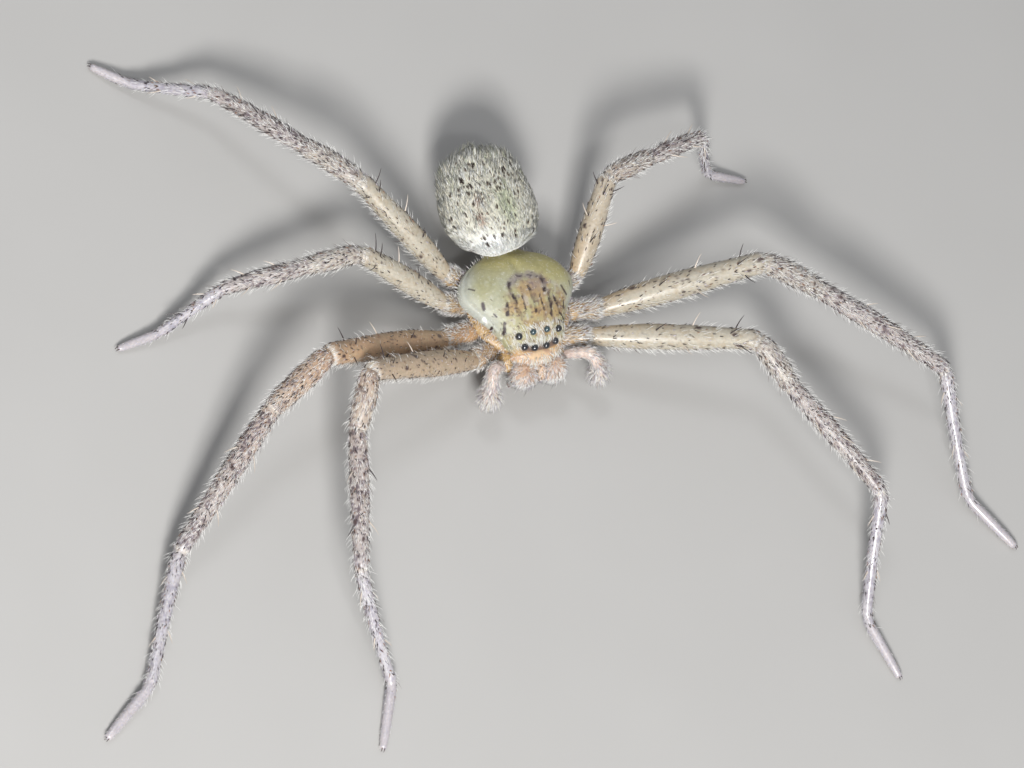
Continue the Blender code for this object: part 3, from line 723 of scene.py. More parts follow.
# The looks: roughness, then the size and amount of colour change, then fold size, pit size, pit
# depth and strength of the relief
SHELL = finish_look("shell_gloss", 0.5, (3500.0, 0.09), (1400.0, 8000.0, 0.5, 0.6), coat=0.05,
                    coat_roughness=0.25, glow=0.2, specular=0.4)
LEG_SHELL = finish_look("leg_shell", 0.42, (5000.0, 0.12), (2500.0, 9000.0, 0.5, 0.6), coat=0.14,
                        coat_roughness=0.2, glow=0.15)
LEG_GLOSS = finish_look("leg_gloss", 0.4, (5000.0, 0.12), (2500.0, 9000.0, 0.5, 0.5),
                        coat_roughness=0.2, glow=0.2, shine=True)
SOFT_SKIN = finish_look("soft_skin", 0.6, (4000.0, 0.15), (2200.0, 7000.0, 0.6, 0.6), glow=0.15)
HAIR = finish_look("pale_hair", 0.4, (6000.0, 0.08))
SOFT_HAIR = finish_look("foot_brush", 0.6, (6000.0, 0.1), specular=0.3)
HORN = finish_look("dark_horn", 0.2, (3000.0, 0.15), coat=0.4)
SPINE_LOOK = finish_look("spine_horn", 0.3, (3000.0, 0.1), coat=0.2)
EYE_LOOK = finish_look("eye_lens", 0.28, (2000.0, 0.05), coat=1.0, coat_roughness=0.12, specular=0.8)


def segment_distance(x, y, start, end):
    """Distance from points in plan to the straight line between two points."""
    start, end = np.array(start), np.array(end)
    line = end - start
    t = np.clip(((x - start[0]) * line[0] + (y - start[1]) * line[1]) / (line @ line), 0, 1)
    return np.hypot(x - start[0] - t * line[0], y - start[1] - t * line[1])


# The dark marks of the carapace in plan: each is a half width and the corners of a broken line
CHEST_DASHES = (
    (0.14, (-4.2, 0.15), (-4.15, -0.3)),
    (0.08, (-3.5, -0.9), (-3.3, -1.2)),
    (0.07, (-3.6, -1.7), (-3.5, -2.1)),
    (0.08, (-4.8, 1.7), (-4.5, 1.4)),
    (0.11, (3.2, 0.2), (3.4, -0.2), (3.6, -0.5)),
    (0.09, (3.1, -1.0), (3.0, -1.6)),
    (0.07, (4.3, 0.6), (4.3, 0.1)),
)
CHEST_LINES = (
    (0.14, (-1.6, 1.2), (-1.8, 0.8), (-1.7, 0.3), (-1.6, -0.5), (-1.7, -0.9), (-1.4, -1.7)),
    (0.13, (-2.3, -0.4), (-2.5, -1.3)),
    (0.10, (-2.8, -1.8), (-2.9, -2.6)),
    (0.11, (-0.1, 0.6), (0.0, -0.5), (0.0, -1.6)),
    (0.16, (1.4, 1.1), (1.5, 0.5), (1.3, 0.0)),
    (0.14, (1.6, -0.4), (1.6, -1.1), (1.4, -2.0)),
    (0.10, (2.0, -0.4), (2.3, -1.5), (2.3, -1.9), (2.8, -2.4)),
    (0.07, (2.1, -2.5), (2.7, -2.7)),
    (0.07, (2.8, -3.2), (3.5, -3.9)),
    (0.05, (-0.9, 0.0), (-0.9, -1.3)),
    (0.05, (0.7, -0.3), (0.8, -1.6)),
)

# The hazy speckled arc behind the head, and a painted highlight: a white line along the head's right rim
CHEST_ARC_WIDTH = 0.51
CHEST_ARC = ((-1.7, 1.1), (-1.0, 1.45), (-0.4, 1.7), (0.5, 1.5), (1.0, 1.35), (1.5, 0.9))
CHEST_HIGHLIGHT_LINE = ((-4.15, -0.9), (-3.95, -1.4), (-3.75, -2.0), (-3.1, -2.8))


def line_distance(x, y, corners):
    """Distance from points in plan to the nearest part of a line with corners."""
    return np.min([segment_distance(x, y, a, b) for a, b in zip(corners[:-1], corners[1:])], axis=0)


def chest_marks(x, y, points):
    """Shares of dark line, lilac haze and ochre head over the carapace, from distances in plan."""
    ragged = lattice_noise(points, 0.16, 21)
    soft = lattice_noise(points, 0.42, 22)
    line = np.zeros_like(x)
    for half, *corners in CHEST_DASHES:
        distance = line_distance(x, y, corners) + 0.05 * ragged
        line = np.maximum(line, 1 - step(half * 0.6, half * 1.5, distance))
    for half, *corners in CHEST_LINES:
        distance = line_distance(x, y, corners) + 0.14 * (ragged - 0.5)
        broken = 0.4 + 0.6 * step(0.28, 0.4, soft) * step(0.1, 0.28, ragged)
        line = np.maximum(line, (1 - step(half * 0.7, half * 1.6, distance)) * broken)
    arc_distance = line_distance(x, y, CHEST_ARC) + 0.3 * (soft - 0.5)
    haze = 1 - step(0.05, CHEST_ARC_WIDTH, arc_distance)
    line = np.maximum(line, 0.75 * haze * step(0.6, 0.75, ragged))
    inner = hill(np.hypot((x - 0.7) / 1.2, y - 0.7), 0, 0.7)
    head = 1 - step(0.75, 1.2, np.hypot((x - 0.4) / 3.2, (y + 1.7) / 3.2) + 0.25 * (soft - 0.5))
    return line, np.maximum(haze * (0.45 + 0.6 * ragged), 0.55 * inner), head


def front_eye_line():
    """Places of the front eyes in plan, from the animal's right to its left."""
    return sorted(tuple((middle(node) - SHIFT)[:2]) for node in EYE_NODES if "front" in node)


def make_carapace():
    """Dome: rings across the body, half an ellipse over the rim raised to a power and a shallow one
    under it, with a furrow along the middle behind the head, side furrows and a thin rim."""
    share = crowded_shares(CHEST_RINGS, 0.035)
    angle = ring_angles(CHEST_COLUMNS)[None, :]
    y = CHEST_REAR_Y + (CHEST_FRONT_Y - CHEST_REAR_Y) * share + 0 * angle
    half = CHEST_HALF_WIDTH * smooth_curve(CHEST_WIDTH_OUTLINE, share)
    x = half * np.cos(angle)
    x = x * (1 - 0.07 * hill(y, 2.3, 1.7) * (x > 0))
    outward = np.abs(x) / half
    rise = np.sin(angle)
    upper = step(0.0, 0.25, rise)
    top = (CHEST_TOP_Z - CHEST_RIM_Z) * smooth_curve(CHEST_TOP_OUTLINE, share)
    z = CHEST_RIM_Z + np.where(rise > 0, top * np.maximum(rise, 0) ** 0.85, 0.75 * rise)
    furrow = 0.13 * hill(x, -0.25, 0.42) * step(1.4, 2.3, y) * (1 - step(3.0, 4.3, y))
    crease = 0.05 * hill(np.hypot((x + 0.1) / 1.1, y + 1.3), 3.0, 0.45) * step(-2.6, -0.6, y)
    groove = 0.09 * hill(outward, 0.94, 0.022) - 0.05 * hill(outward, 0.985, 0.015)
    grid = np.stack((x, y, z - upper * (furrow + crease + groove)), -1)
    grid[..., 2] += 0.05 * upper * (lattice_noise(grid, 0.9, 31) - 0.5)
    line, arc, head = chest_marks(x, y, grid)
    edge = step(0.72, 1.0, outward) * step(-3.5, -1.0, y) * (1 - 0.6 * step(2.5, 4.5, y))
    fine = lattice_noise(grid, 0.2, 35)
    eye_gap = line_distance(x, y, front_eye_line())
    # A painted highlight: a thin white line along the rim at the head's right edge
    white = 1 - step(0.05, 0.14, line_distance(x, y, CHEST_HIGHLIGHT_LINE))
    olive = mix(CHEST_OLIVE, CHEST_SAGE, step(0.3, 0.7, lattice_noise(grid, 1.6, 32)))
    ochre = mix(HEAD_YELLOW, HEAD_OCHRE, step(0.4, 0.8, lattice_noise(grid, 0.8, 34)))
    ochre = layered(ochre, (
        (HEAD_MOTTLE, 0.6 * step(0.54, 0.68, lattice_noise(grid, 0.38, 33))),
        (HEAD_BLOOM, 0.45 * step(0.66, 0.78, lattice_noise(grid, 0.3, 36))),
    ))
    colour = layered(olive, (
        (CHEST_TAN, 0.85 * step(0.5, 3.2, y + 0.3 * x)),
        (CHEST_EDGE, 0.8 * edge),
        (ochre, 0.85 * head),
        (HEAD_DOT, 0.6 * head * step(0.66, 0.8, fine)),
        (CHEST_DOT, 0.3 * step(0.7, 0.85, 1 - fine) * (1 - head)),
        (BROW_ORANGE, 0.85 * (1 - step(-4.35, -3.7, y))),
        (ARC_HAZE, 0.85 * arc),
        (EYE_BAND, 0.85 * (1 - step(0.16, 0.4, eye_gap))),
        (CHEST_LINE, line),
        (CHEST_PAINTED_HIGHLIGHT, white * upper),
    ))
    colour = np.where((rise < -0.02)[..., None], CHEST_UNDER, colour)
    poles = ((0, CHEST_REAR_Y + 0.05, CHEST_RIM_Z - 0.1), (0, CHEST_FRONT_Y - 0.1, CHEST_RIM_Z))
    shell = closed_grid("carapace", grid, poles, colour, SHELL)
    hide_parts("cephalothorax")
    return grid


def ellipsoid(name, centre, sizes, tint, look, pinch=0.0, rows=40, columns=48):
    """An ellipsoid in latitude rings down its Y axis, with its rear narrowed by pinch."""
    t = (np.pi * (np.arange(rows) + 1) / (rows + 1))[:, None]
    a = ring_angles(columns)
    along = -np.cos(t)
    x = centre[0] + sizes[0] * np.sin(t) * (1 - pinch * (along + 1) / 2) * np.cos(a)
    y = centre[1] + sizes[1] * along + 0 * a
    z = centre[2] + sizes[2] * np.sin(t) * np.sin(a)
    grid = np.stack((x, y, z), -1)
    reach = np.array((0.0, sizes[1], 0.0))
    tones = np.asarray(tint) * (0.85 + 0.3 * lattice_noise(grid, 0.4, 41))[..., None]
    closed_grid(name, grid, (centre - reach, centre + reach), tones, look)
    return grid, np.broadcast_to(centre, grid.shape)


def make_underside(draw):
    """The sternum as a heart-shaped shield, the lip and two mouth plates in front of it, and the
    soft flanks between the hips."""
    ellipsoid("sternum", (0, 0.0, 4.6), (2.65, 3.45, 2.05), STRAW, LEG_SHELL, 0.35, 60, 72)
    ellipsoid("lip", (0, -3.5, 3.5), (0.75, 0.6, 0.8), LIP_BROWN, LEG_SHELL)
    flank = ellipsoid("flank", (0, -0.15, 4.35), (4.75, 4.25, 0.95), AMBER, LEG_SHELL,
                      0.0, 70, 90)
    side_hair("flank_hair", *flank, FLANK_PER_MM2, draw)
    for side, outward in OUTWARD.items():
        plate = ellipsoid(f"mouth_plate_{side}", (outward * 2.15, -4.2, 3.6), (1.0, 1.05, 0.85), AMBER,
                          LEG_SHELL)
        side_hair(f"mouth_hair_{side}", *plate, MOUTH_PER_MM2, draw)


def side_hair(name, grid, middles, density, draw):
    """Short hairs on the soft parts round the mouth and hips: most pale, one in four dark."""
    hair = scatter(grid, middles, density, draw)
    hair = hung(hair, np.array((0.0, -0.5, -0.6)) + 0.5 * hair["out"])
    tint = palette_tint(hair, (WHITE, LILAC, PEACH, DARK), (0.44, 0.2, 0.12, 0.24), draw)
    strands(name, swayed(hair, 0.5, draw), *STRANDS["soft part"], tint, "carapace", draw)


def make_face(draw):
    """The band under the front eyes that reaches down to the jaws, with pale hairs over it."""
    share = np.linspace(0.0, 1.0, FACE_RINGS)[:, None]
    angle = ring_angles(FACE_COLUMNS)[None, :]
    across = 2 * share - 1
    size = np.sqrt(1 - (0.99 * across) ** 2)
    x = FACE_HALF_WIDTH * across + 0 * angle
    line_y = FACE_Y - 0.35 * (1 - across**2) + 0 * angle
    y = line_y + FACE_RADIUS * size * np.cos(angle)
    z = FACE_Z + FACE_RADIUS * size * np.sin(angle) - 0.3 * np.maximum(-np.cos(angle), 0)
    grid = np.stack((x, y, z), -1)
    middles = np.stack((x, line_y, FACE_Z + 0 * x), -1)
    tint = mix(FACE_PALE, FACE_ORANGE, step(0.4, 0.7, lattice_noise(grid, 0.5, 42)))
    poles = ((-2.4, FACE_Y, FACE_Z), (2.4, FACE_Y, FACE_Z))
    closed_grid("face", grid, poles, tint, LEG_SHELL)
    front = step(-0.1, 0.4, -np.cos(angle)) * step(-0.5, 0.3, np.sin(angle) + 0.4)
    hair = scatter(grid, middles, FACE_PER_MM2 * front * (size > 0.3), draw)
    hair = hung(hair, np.array((0.0, -0.35, -1.0)))
    tint = palette_tint(hair, (WHITE, CREAM, PEACH), (0.6, 0.2, 0.2), draw)
    # Roots darker than the tips: painted shade deep in the coat
    strands("face_hair", swayed(hair, 0.35, draw), *STRANDS["face"], 0.85 * tint, "carapace", draw,
            tip=tint)


def abdomen_grid():
    """The sac under its coat: rings along its length whose size is part circle and part the fullness
    curve, whose front leans over the waist in step with height, most at a rounded tip on its right,
    all turned a little about the waist."""
    share = crowded_shares(ABDOMEN_RINGS, 0.04)
    angle = ring_angles(ABDOMEN_COLUMNS)[None, :]
    inset = 0.01 + (ABDOMEN_COAT - 0.01) * step(0.1, 0.7, share)
    rounding = np.sqrt(np.maximum(1 - (2 * share - 1) ** 2, 0))
    size = 0.4 * rounding + 0.6 * smooth_curve(ABDOMEN_FULLNESS, share)
    sag = 0.35 * np.sin(np.pi * share)
    x = (ABDOMEN_WIDTH / 2 * size - inset) * np.cos(angle)
    z = ABDOMEN_CENTRE_Z - sag + (ABDOMEN_HEIGHT / 2 * size - inset) * np.sin(angle)
    above = z - ABDOMEN_CENTRE_Z - 0.2
    above = (above + np.sqrt(above**2 + 0.9)) / 2 - 0.12
    x = x * (1 - ABDOMEN_CUT * (1 - step(0.0, 0.4, share)) * (x < 0))
    tip = hill(x, ABDOMEN_TIP_X, 1.8) * step(ABDOMEN_CENTRE_Z - 1.0, ABDOMEN_CENTRE_Z + 1.5, z)
    lean = ABDOMEN_OVERHANG * above - ABDOMEN_SKEW * x + ABDOMEN_TIP * tip
    y = WAIST_Y + inset + (ABDOMEN_LENGTH - 2 * inset) * share - lean * (1 - share) ** 2
    centres = np.stack((0 * x, y.mean(axis=1, keepdims=True) + 0 * x, ABDOMEN_CENTRE_Z - sag + 0 * x), -1)
    return turn_abdomen(np.stack((x, y, z), -1)), turn_abdomen(centres)


def turn_abdomen(points):
    """Points with those behind the waist turned about an upright line through it."""
    cosine, sine = math.cos(-ABDOMEN_TURN), math.sin(-ABDOMEN_TURN)
    x, y = points[..., 0], points[..., 1] - WAIST_Y
    turned_points = points.copy()
    turned_points[..., 0] = np.where(y > 0, cosine * x - sine * y, x)
    turned_points[..., 1] = np.where(y > 0, sine * x + cosine * y, y) + WAIST_Y
    return turned_points


# How many small dark flecks of the sac are drawn at random, and the named ones: place and radius
ABDOMEN_FLECKS = 190
ABDOMEN_SPOTS = (
    (-1.0, 4.9, 0.13), (0.2, 4.8, 0.16), (-1.7, 5.0, 0.12), (-2.4, 5.2, 0.12), (1.7, 5.6, 0.16),
    (0.6, 6.2, 0.14), (-2.5, 10.5, 0.2), (-2.1, 9.7, 0.18), (1.5, 8.3, 0.16), (-0.6, 9.4, 0.2),
    (1.2, 10.6, 0.18), (-1.2, 11.5, 0.18),
)


def abdomen_marks(points):
    """Shares of grey rear, white front, green haze and red spot over the sac, from place and noise."""
    x, y = points[..., 0], points[..., 1]
    rear = step(7.6, 13.6, y + 1.4 * (lattice_noise(points, 1.2, 51) - 0.5))
    front = 1 - step(3.5, 5.6, y + 0.5 * x + 1.6 * (lattice_noise(points, 0.7, 54) - 0.5))
    green = hill(x, 0.3, 0.8) * hill(y, 7.5, 1.8)
    red = np.maximum(hill(x, -2.0, 0.34) * hill(y, 8.3, 0.6), hill(x, -2.3, 0.34) * hill(y, 6.8, 0.5))
    top = step(ABDOMEN_CENTRE_Z - 1.5, ABDOMEN_CENTRE_Z + 0.5, points[..., 2])
    return rear, front, green * top, red * top


def abdomen_flecks(hair, draw):
    """Places of the dark flecks: the root nearest to each named spot, and roots drawn at random,
    more of them over the middle and the rear."""
    roots = hair["root"]
    x, y = roots[:, 0], roots[:, 1]
    top = roots[:, 2] > ABDOMEN_CENTRE_Z
    named = [
        np.argmin(np.hypot(x - spot_x, y - spot_y) + 9 * ~top) for spot_x, spot_y, _ in ABDOMEN_SPOTS
    ]
    sizes = [radius for _, _, radius in ABDOMEN_SPOTS]
    wanted = (0.02 + step(4.0, 6.2, y)) * (0.1 + hill(x, 0.0, 3.2)) * (0.15 + top)
    drawn = draw.choice(len(roots), ABDOMEN_FLECKS, p=wanted / wanted.sum(), replace=False)
    sizes = np.concatenate((sizes, 0.03 + 0.11 * draw.random(ABDOMEN_FLECKS) ** 1.6))
    return roots[np.concatenate((named, drawn))], sizes


def make_abdomen(draw):
    """The soft sac with its coat, the waist and the spinnerets."""
    grid, centres = abdomen_grid()
    rear, front, green, red = abdomen_marks(grid)
    colour = layered(mix(SAC_CREAM, SAC_GREY, rear), (
        (SAC_WHITE, front),
        (SAC_GREEN, 0.8 * green),
        (SAC_RED, 0.8 * red),
    ))
    poles = (grid[0].mean(axis=0), grid[-1].mean(axis=0))
    sac = closed_grid("abdomen_skin", grid, poles, colour, SOFT_SKIN)
    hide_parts("abdomen")
    make_waist_and_spinnerets()
    density = ABDOMEN_PER_MM2 + ABDOMEN_FRONT_MORE * front
    make_abdomen_coat(scatter(grid, centres, density, draw), draw)


def make_abdomen_coat(hair, draw):
    """Hairs that lie to the rear in loose clumps: snow white in front, cream and grey behind, with
    the green and red marks, and cut short and dark at the flecks. Every other one is in each piece."""
    rear, front, green, red = abdomen_marks(hair["root"])
    plain = (1 - 0.75 * green) * (1 - 0.85 * red)
    patch = step(0.42, 0.68, lattice_noise(hair["root"], 0.6, 55)) * step(4.6, 5.9, hair["root"][:, 1])
    chances = np.stack((
        plain * (0.5 + 0.7 * front - 0.15 * rear) * (1 - 0.5 * patch),
        plain * 0.5 * (1 - front) * (1 - 0.3 * rear) * (1 - 0.4 * patch),
        plain * (0.2 * rear + 0.5 * patch),
        0.9 * green + 0.05 * rear + 0.08 * patch,
        0.9 * red,
        0.05 * rear + 0.015 * (1 - front),
    ), -1)
    tint = palette_tint(hair, (SNOW, CREAM, GREY, MOSS, RUST, DARK), chances, draw)
    count = hair["count"]
    clumps = lattice_noise(hair["root"], 0.55, 53) - 0.5
    hair = turned(hair, (0.9 - 0.5 * front) * clumps + draw.normal(0, 0.1, count))
    length = spread(0.85 + 0.1 * rear - 0.2 * front, count, draw, 0.25)
    lift = spread(0.15 + 0.1 * rear - 0.06 * front, count, draw, 0.6)
    lift = lift + 0.5 * rear * (draw.random(count) < 0.1)
    for place, radius in zip(*abdomen_flecks(hair, draw)):
        offset = place - hair["root"]
        along = np.sum(offset * hair["lie"], axis=1)
        aside = np.linalg.norm(offset - along[:, None] * hair["lie"], axis=1)
        inside = np.hypot(aside, 0.55 * along) < radius
        tint[inside] = mix(FLECK_FAINT, FLECK, min(1.0, 6.0 * radius))
        length[inside] = np.minimum(length[inside], 0.42)
        lift[inside] = 0.4
        before = ~inside & (aside < 1.2 * radius) & (along > 0) & (along < length)
        length[before] = np.maximum(along[before] - radius, 0.12)
    # The hairs' brightness: a little lower over the front, and raised on the front face below the top,
    # with whiter tips there, as painted light that makes up for the light the face misses; raised towards
    # the rear too.
    face = front * (1 - step(6.4, 7.4, hair["root"][:, 2]))
    tint = tint * (0.84 - 0.1 * front + 0.26 * face + 0.16 * rear)[:, None]
    tip = np.where((tint.sum(axis=1) < 0.7)[:, None], tint, mix(tint, SNOW, 0.15 + 0.1 * face))
    width = 0.052 - 0.014 * front
    # Roots at 0.95 of the tint: painted shade deep in the coat
    for piece, rest in (("a", 0), ("b", 1)):
        keep = np.arange(count) % 2 == rest
        strands(f"abdomen_coat_{piece}", chosen(hair, keep), length[keep], width[keep], lift[keep], 0.22,
                0.95 * tint[keep], "abdomen", draw, tip=tip[keep])


def tube_grid(centres, radii, columns, flatness=1.0, rearward=False):
    """Rings round a line of centres: level and upper axes at right angles to the line's direction.
    With rearward, angles are counted from the top towards the animal's rear."""
    level, upper = cross_axes(unit(np.gradient(centres, axis=0)))
    if rearward:
        level = level * np.sign(level[:, 1].mean() or 1.0)
    turn = ring_angles(columns)[None, :, None]
    radii = np.asarray(radii)[:, None, None]
    grid = (
        centres[:, None, :]
        + radii * flatness * upper[:, None, :] * np.cos(turn)
        + radii * level[:, None, :] * np.sin(turn)
    )
    return grid, np.broadcast_to(centres[:, None, :], grid.shape)


# The spinnerets: number, place to the left, drop below the sac's middle, length and radius
SPINNERETS = (
    (1, 0.55, 1.75, 1.5, 0.36), (2, -0.55, 1.75, 1.5, 0.36), (3, 0.5, 0.95, 1.3, 0.28),
    (4, -0.5, 0.95, 1.3, 0.28),
)


def make_waist_and_spinnerets():
    """Short tubes: the waist between the two body parts, and four spinnerets at the rear."""
    line = np.linspace((0, CHEST_REAR_Y + 0.1, 4.4), (0, WAIST_Y + 1.2, 4.6), 24)
    grid = tube_grid(line, np.linspace(0.62, 0.8, 24), 32)[0]
    tint = np.broadcast_to(WAIST_SKIN, grid.shape)
    closed_grid("waist", grid, (line[0], line[-1]), tint, LEG_SHELL)
    share = np.linspace(0, 1, 28)
    shade = mix(SPINNERET_SKIN, SPINNERET_TIP, step(0.55, 0.9, share))
    taper = (1 - 0.3 * share) * np.sqrt(1 - step(0.8, 1.06, share)) * (1 - 0.12 * hill(share, 0.62, 0.05))
    for number, x, drop, length, radius in SPINNERETS:
        root = np.array((x, WAIST_Y + ABDOMEN_LENGTH - 1.6, ABDOMEN_CENTRE_Z - drop))
        tip = root + np.array((np.sign(x) * 0.16, 1.0, -0.18)) * length
        line = turn_abdomen(np.linspace(root, tip, 28))
        grid = tube_grid(line, radius * taper, 24)[0]
        tint = np.broadcast_to(shade[:, None, :], grid.shape)
        closed_grid(f"spinneret_{number}", grid, (line[0], line[-1]), tint, SOFT_SKIN)


def leg_joints(side, number):
    """The points where a leg's segments meet, from the inner end of its coxa to its toe."""
    outward = OUTWARD[side]
    n = number - 1
    points = [
        np.array((outward * COXA_INNER_HALF_WIDTH[n], COXA_INNER_Y[n], COXA_INNER_Z)),
        np.array((outward * HIP_HALF_WIDTH[n], HIP_Y[n], HIP_Z)),
    ]
    if (side, number) not in TURN:
        return np.array(points)
    lengths = (FEMUR_LENGTH, PATELLA_LENGTH, TIBIA_LENGTH, METATARSUS_LENGTH, TARSUS_LENGTH)
    rises = RISE[side, number]
    floors = (ANKLE_Z, TOE_Z)
    for index, table in enumerate(lengths):
        start = points[-1]
        if index < len(rises):
            rise = rises[index]
        else:
            rise = math.degrees(math.asin((floors[index - len(rises)] - start[2]) / table[n]))
        points.append(start + heading(side, TURN[side, number][index], rise) * table[n])
    return np.array(points)


def leg_path(joints):
    """Centres along a leg: straight runs bowed by a share of their length, with each corner rounded
    by a quadratic arc, and the place of each as a segment's number plus the share along it."""
    if len(joints) > 2:
        joints = joints.copy()
        joints[-1] += unit(joints[-1] - joints[-2]) * PAST_TOE
    runs = np.diff(joints, axis=0)
    lengths = np.linalg.norm(runs, axis=1)
    stations = np.concatenate(([0], np.cumsum(lengths)))
    s = np.linspace(0, stations[-1], int(stations[-1] / LEG_SPACING))
    centres = np.stack([np.interp(s, stations, joints[:, axis]) for axis in range(3)], -1)
    for k in range(1, len(joints) - 1):
        reach = min(CORNER_ROUNDING, 0.35 * min(lengths[k - 1], lengths[k]))
        near = np.abs(s - stations[k]) < reach
        u = ((s[near] - stations[k] + reach) / (2 * reach))[:, None]
        before = joints[k] - runs[k - 1] / lengths[k - 1] * reach
        after = joints[k] + runs[k] / lengths[k] * reach
        centres[near] = (1 - u) ** 2 * before + 2 * u * (1 - u) * joints[k] + u**2 * after
    place = np.interp(s, stations, np.arange(len(joints)))
    kind = np.minimum(place.astype(int), len(lengths) - 1)
    share = place - kind
    upper = cross_axes(runs[kind] / lengths[kind][:, None])[1]
    lift = np.array(BOW)[kind] * lengths[kind] * 4 * share * (1 - share)
    return centres + upper * lift[:, None], s, place, stations


def leg_radii(s, place, stations, thickness):
    """Half thickness along a leg: each segment's own curve less its coat, narrowed at every joint,
    swollen just before it, and rounded off at the toe."""
    kind = np.minimum(place.astype(int), len(stations) - 2)
    share = place - kind
    radii = np.zeros_like(s)
    for index in range(len(stations) - 1):
        here = kind == index
        radii[here] = smooth_curve(RADIUS[SEGMENTS[index]], share[here]) * thickness
        radii[here] -= COAT_DEPTH[index]
    padded = np.pad(radii, 3, mode="edge")
    radii = np.convolve(padded, np.ones(7) / 7, mode="valid")
    for index, station in enumerate(stations[1:-1]):
        narrow = JOINT_DEPTH[index] * hill(s, station + 0.05, 0.2)
        radii = radii * (1 - narrow + 0.04 * hill(s, station - 0.5, 0.3))
    if len(stations) > 2:
        end = radii[-1]
        left = np.clip((s - (s[-1] - end)) / end, 0, 0.995)
        radii = radii * np.sqrt(1 - left**2)
    return radii


# Shell colours from the hip piece to the foot, and the darker colour of each one's blotches
LEG_SHELL_COLOURS = (
    (0.37, 0.27, 0.16), (0.42, 0.385, 0.315), (0.41, 0.37, 0.33), (0.39, 0.35, 0.335),
    (0.45, 0.43, 0.46), (0.46, 0.43, 0.45),
)
LEG_BLOTCH_COLOURS = (
    (0.40, 0.25, 0.12), (0.35, 0.28, 0.19), (0.13, 0.10, 0.11), (0.12, 0.09, 0.105),
    (0.25, 0.23, 0.28), (0.36, 0.34, 0.38),
)
LEG_BLOTCH_SHARE = (0.5, 0.45, 0.6, 0.85, 0.6, 0.4)
# How far each leg's shell near the body is laid over with a warm brown. On the right first and second
# legs this is part their own warm colour and part painted reflected light; on the left third leg it is
# painted shade that dulls its brightly lit femur.
LEG_WARMTH_BOUNCE_AND_SHADE = {("right", 1): 0.4, ("right", 2): 0.75, ("left", 3): 0.12}

# Groups of small dark spots: how many, first and last place, most turn, least and greatest radius
LEG_SPOTS = (
    (38, 1.06, 1.97, 2.2, 0.05, 0.12),
    (20, 1.1, 4.0, 1.6, 0.14, 0.22),
    (40, 2.05, 4.1, 2.0, 0.06, 0.13),
)


def along_leg(values, place):
    """Each segment's own value, blended evenly into the next one's over the joint between them."""
    values = np.atleast_2d(np.asarray(values, float).T).T
    joints = np.arange(1, len(values))[:, None] + np.array((-0.12, 0.12))
    knots = np.concatenate(([0], joints.ravel(), [len(values)]))
    steps = np.repeat(values, 2, axis=0)
    return np.stack([np.interp(place, knots, column) for column in steps.T], -1)


def leg_blotches(points, place):
    """Where a leg's shell is darker: noise at two sizes, with a dark band each side of the knee's end."""
    wide = lattice_noise(points, 0.8, 61)
    fine = lattice_noise(points, 0.2, 62)
    dark = step(0.54, 0.64, 0.3 * wide + 0.7 * fine)
    knee = hill(place, 2.95, 0.05) * step(0.4, 0.6, wide)
    return np.maximum(dark, 0.9 * knee)


def leg_tint(points, place, turn, spots, warmth_bounce_and_shade):
    """A leg's shell colour: by segment; warmer near the body by a share that is part own colour
    and part painted reflected light and painted shade; with blotches, pale lower sides, a warm band
    behind the top of the femur, pale joints and dark spots."""
    blotch = along_leg(LEG_BLOTCH_SHARE, place)[..., 0] * leg_blotches(points, place)
    warm = hill(turn, 0.9, 0.7) * (1 - step(1.0, 1.7, place)) * step(0.9, 1.05, place)
    joint = (1 - step(0.0, 0.03, np.abs(place - np.round(place)))) * (place > 0.9) * (place < 4.6)
    colour = layered(along_leg(LEG_SHELL_COLOURS, place), (
        # Warm brown near the body: part own colour, part painted reflected light and painted shade
        (LEG_WARM_BOUNCE_TINT, warmth_bounce_and_shade * (1 - step(1.6, 4.0, place))),
        (along_leg(LEG_BLOTCH_COLOURS, place), blotch),
        (LEG_UNDER, 0.4 * step(0.2, 0.9, -np.cos(turn))),
        (FEMUR_WARM, 0.5 * warm),
        (JOINT_PALE, 0.6 * joint),
    ))
    for spot in spots:
        inside = 1 - step(spot[2] * 0.7, spot[2] * 1.35, spot_distance(place, turn, spot))
        colour = mix(colour, LEG_SPOT, min(0.92, 0.45 + 4 * (spot[2] - 0.05)) * inside)
    return colour


def leg_spots(draw):
    """Small dark spots of one leg, as place, turn and radius: most on the femur, fewer beyond it."""
    return [
        (draw.uniform(first, last), draw.uniform(-most, most), draw.uniform(small, large))
        for many, first, last, most, small, large in LEG_SPOTS for _ in range(many)
    ]


def spot_distance(place, turn, spot):
    """Distance in millimetres over a leg's shell from the middle of one of its spots."""
    across = np.angle(np.exp(1j * (turn - spot[1]))) * 1.05
    return np.hypot(across, (place - spot[0]) * 11.0)


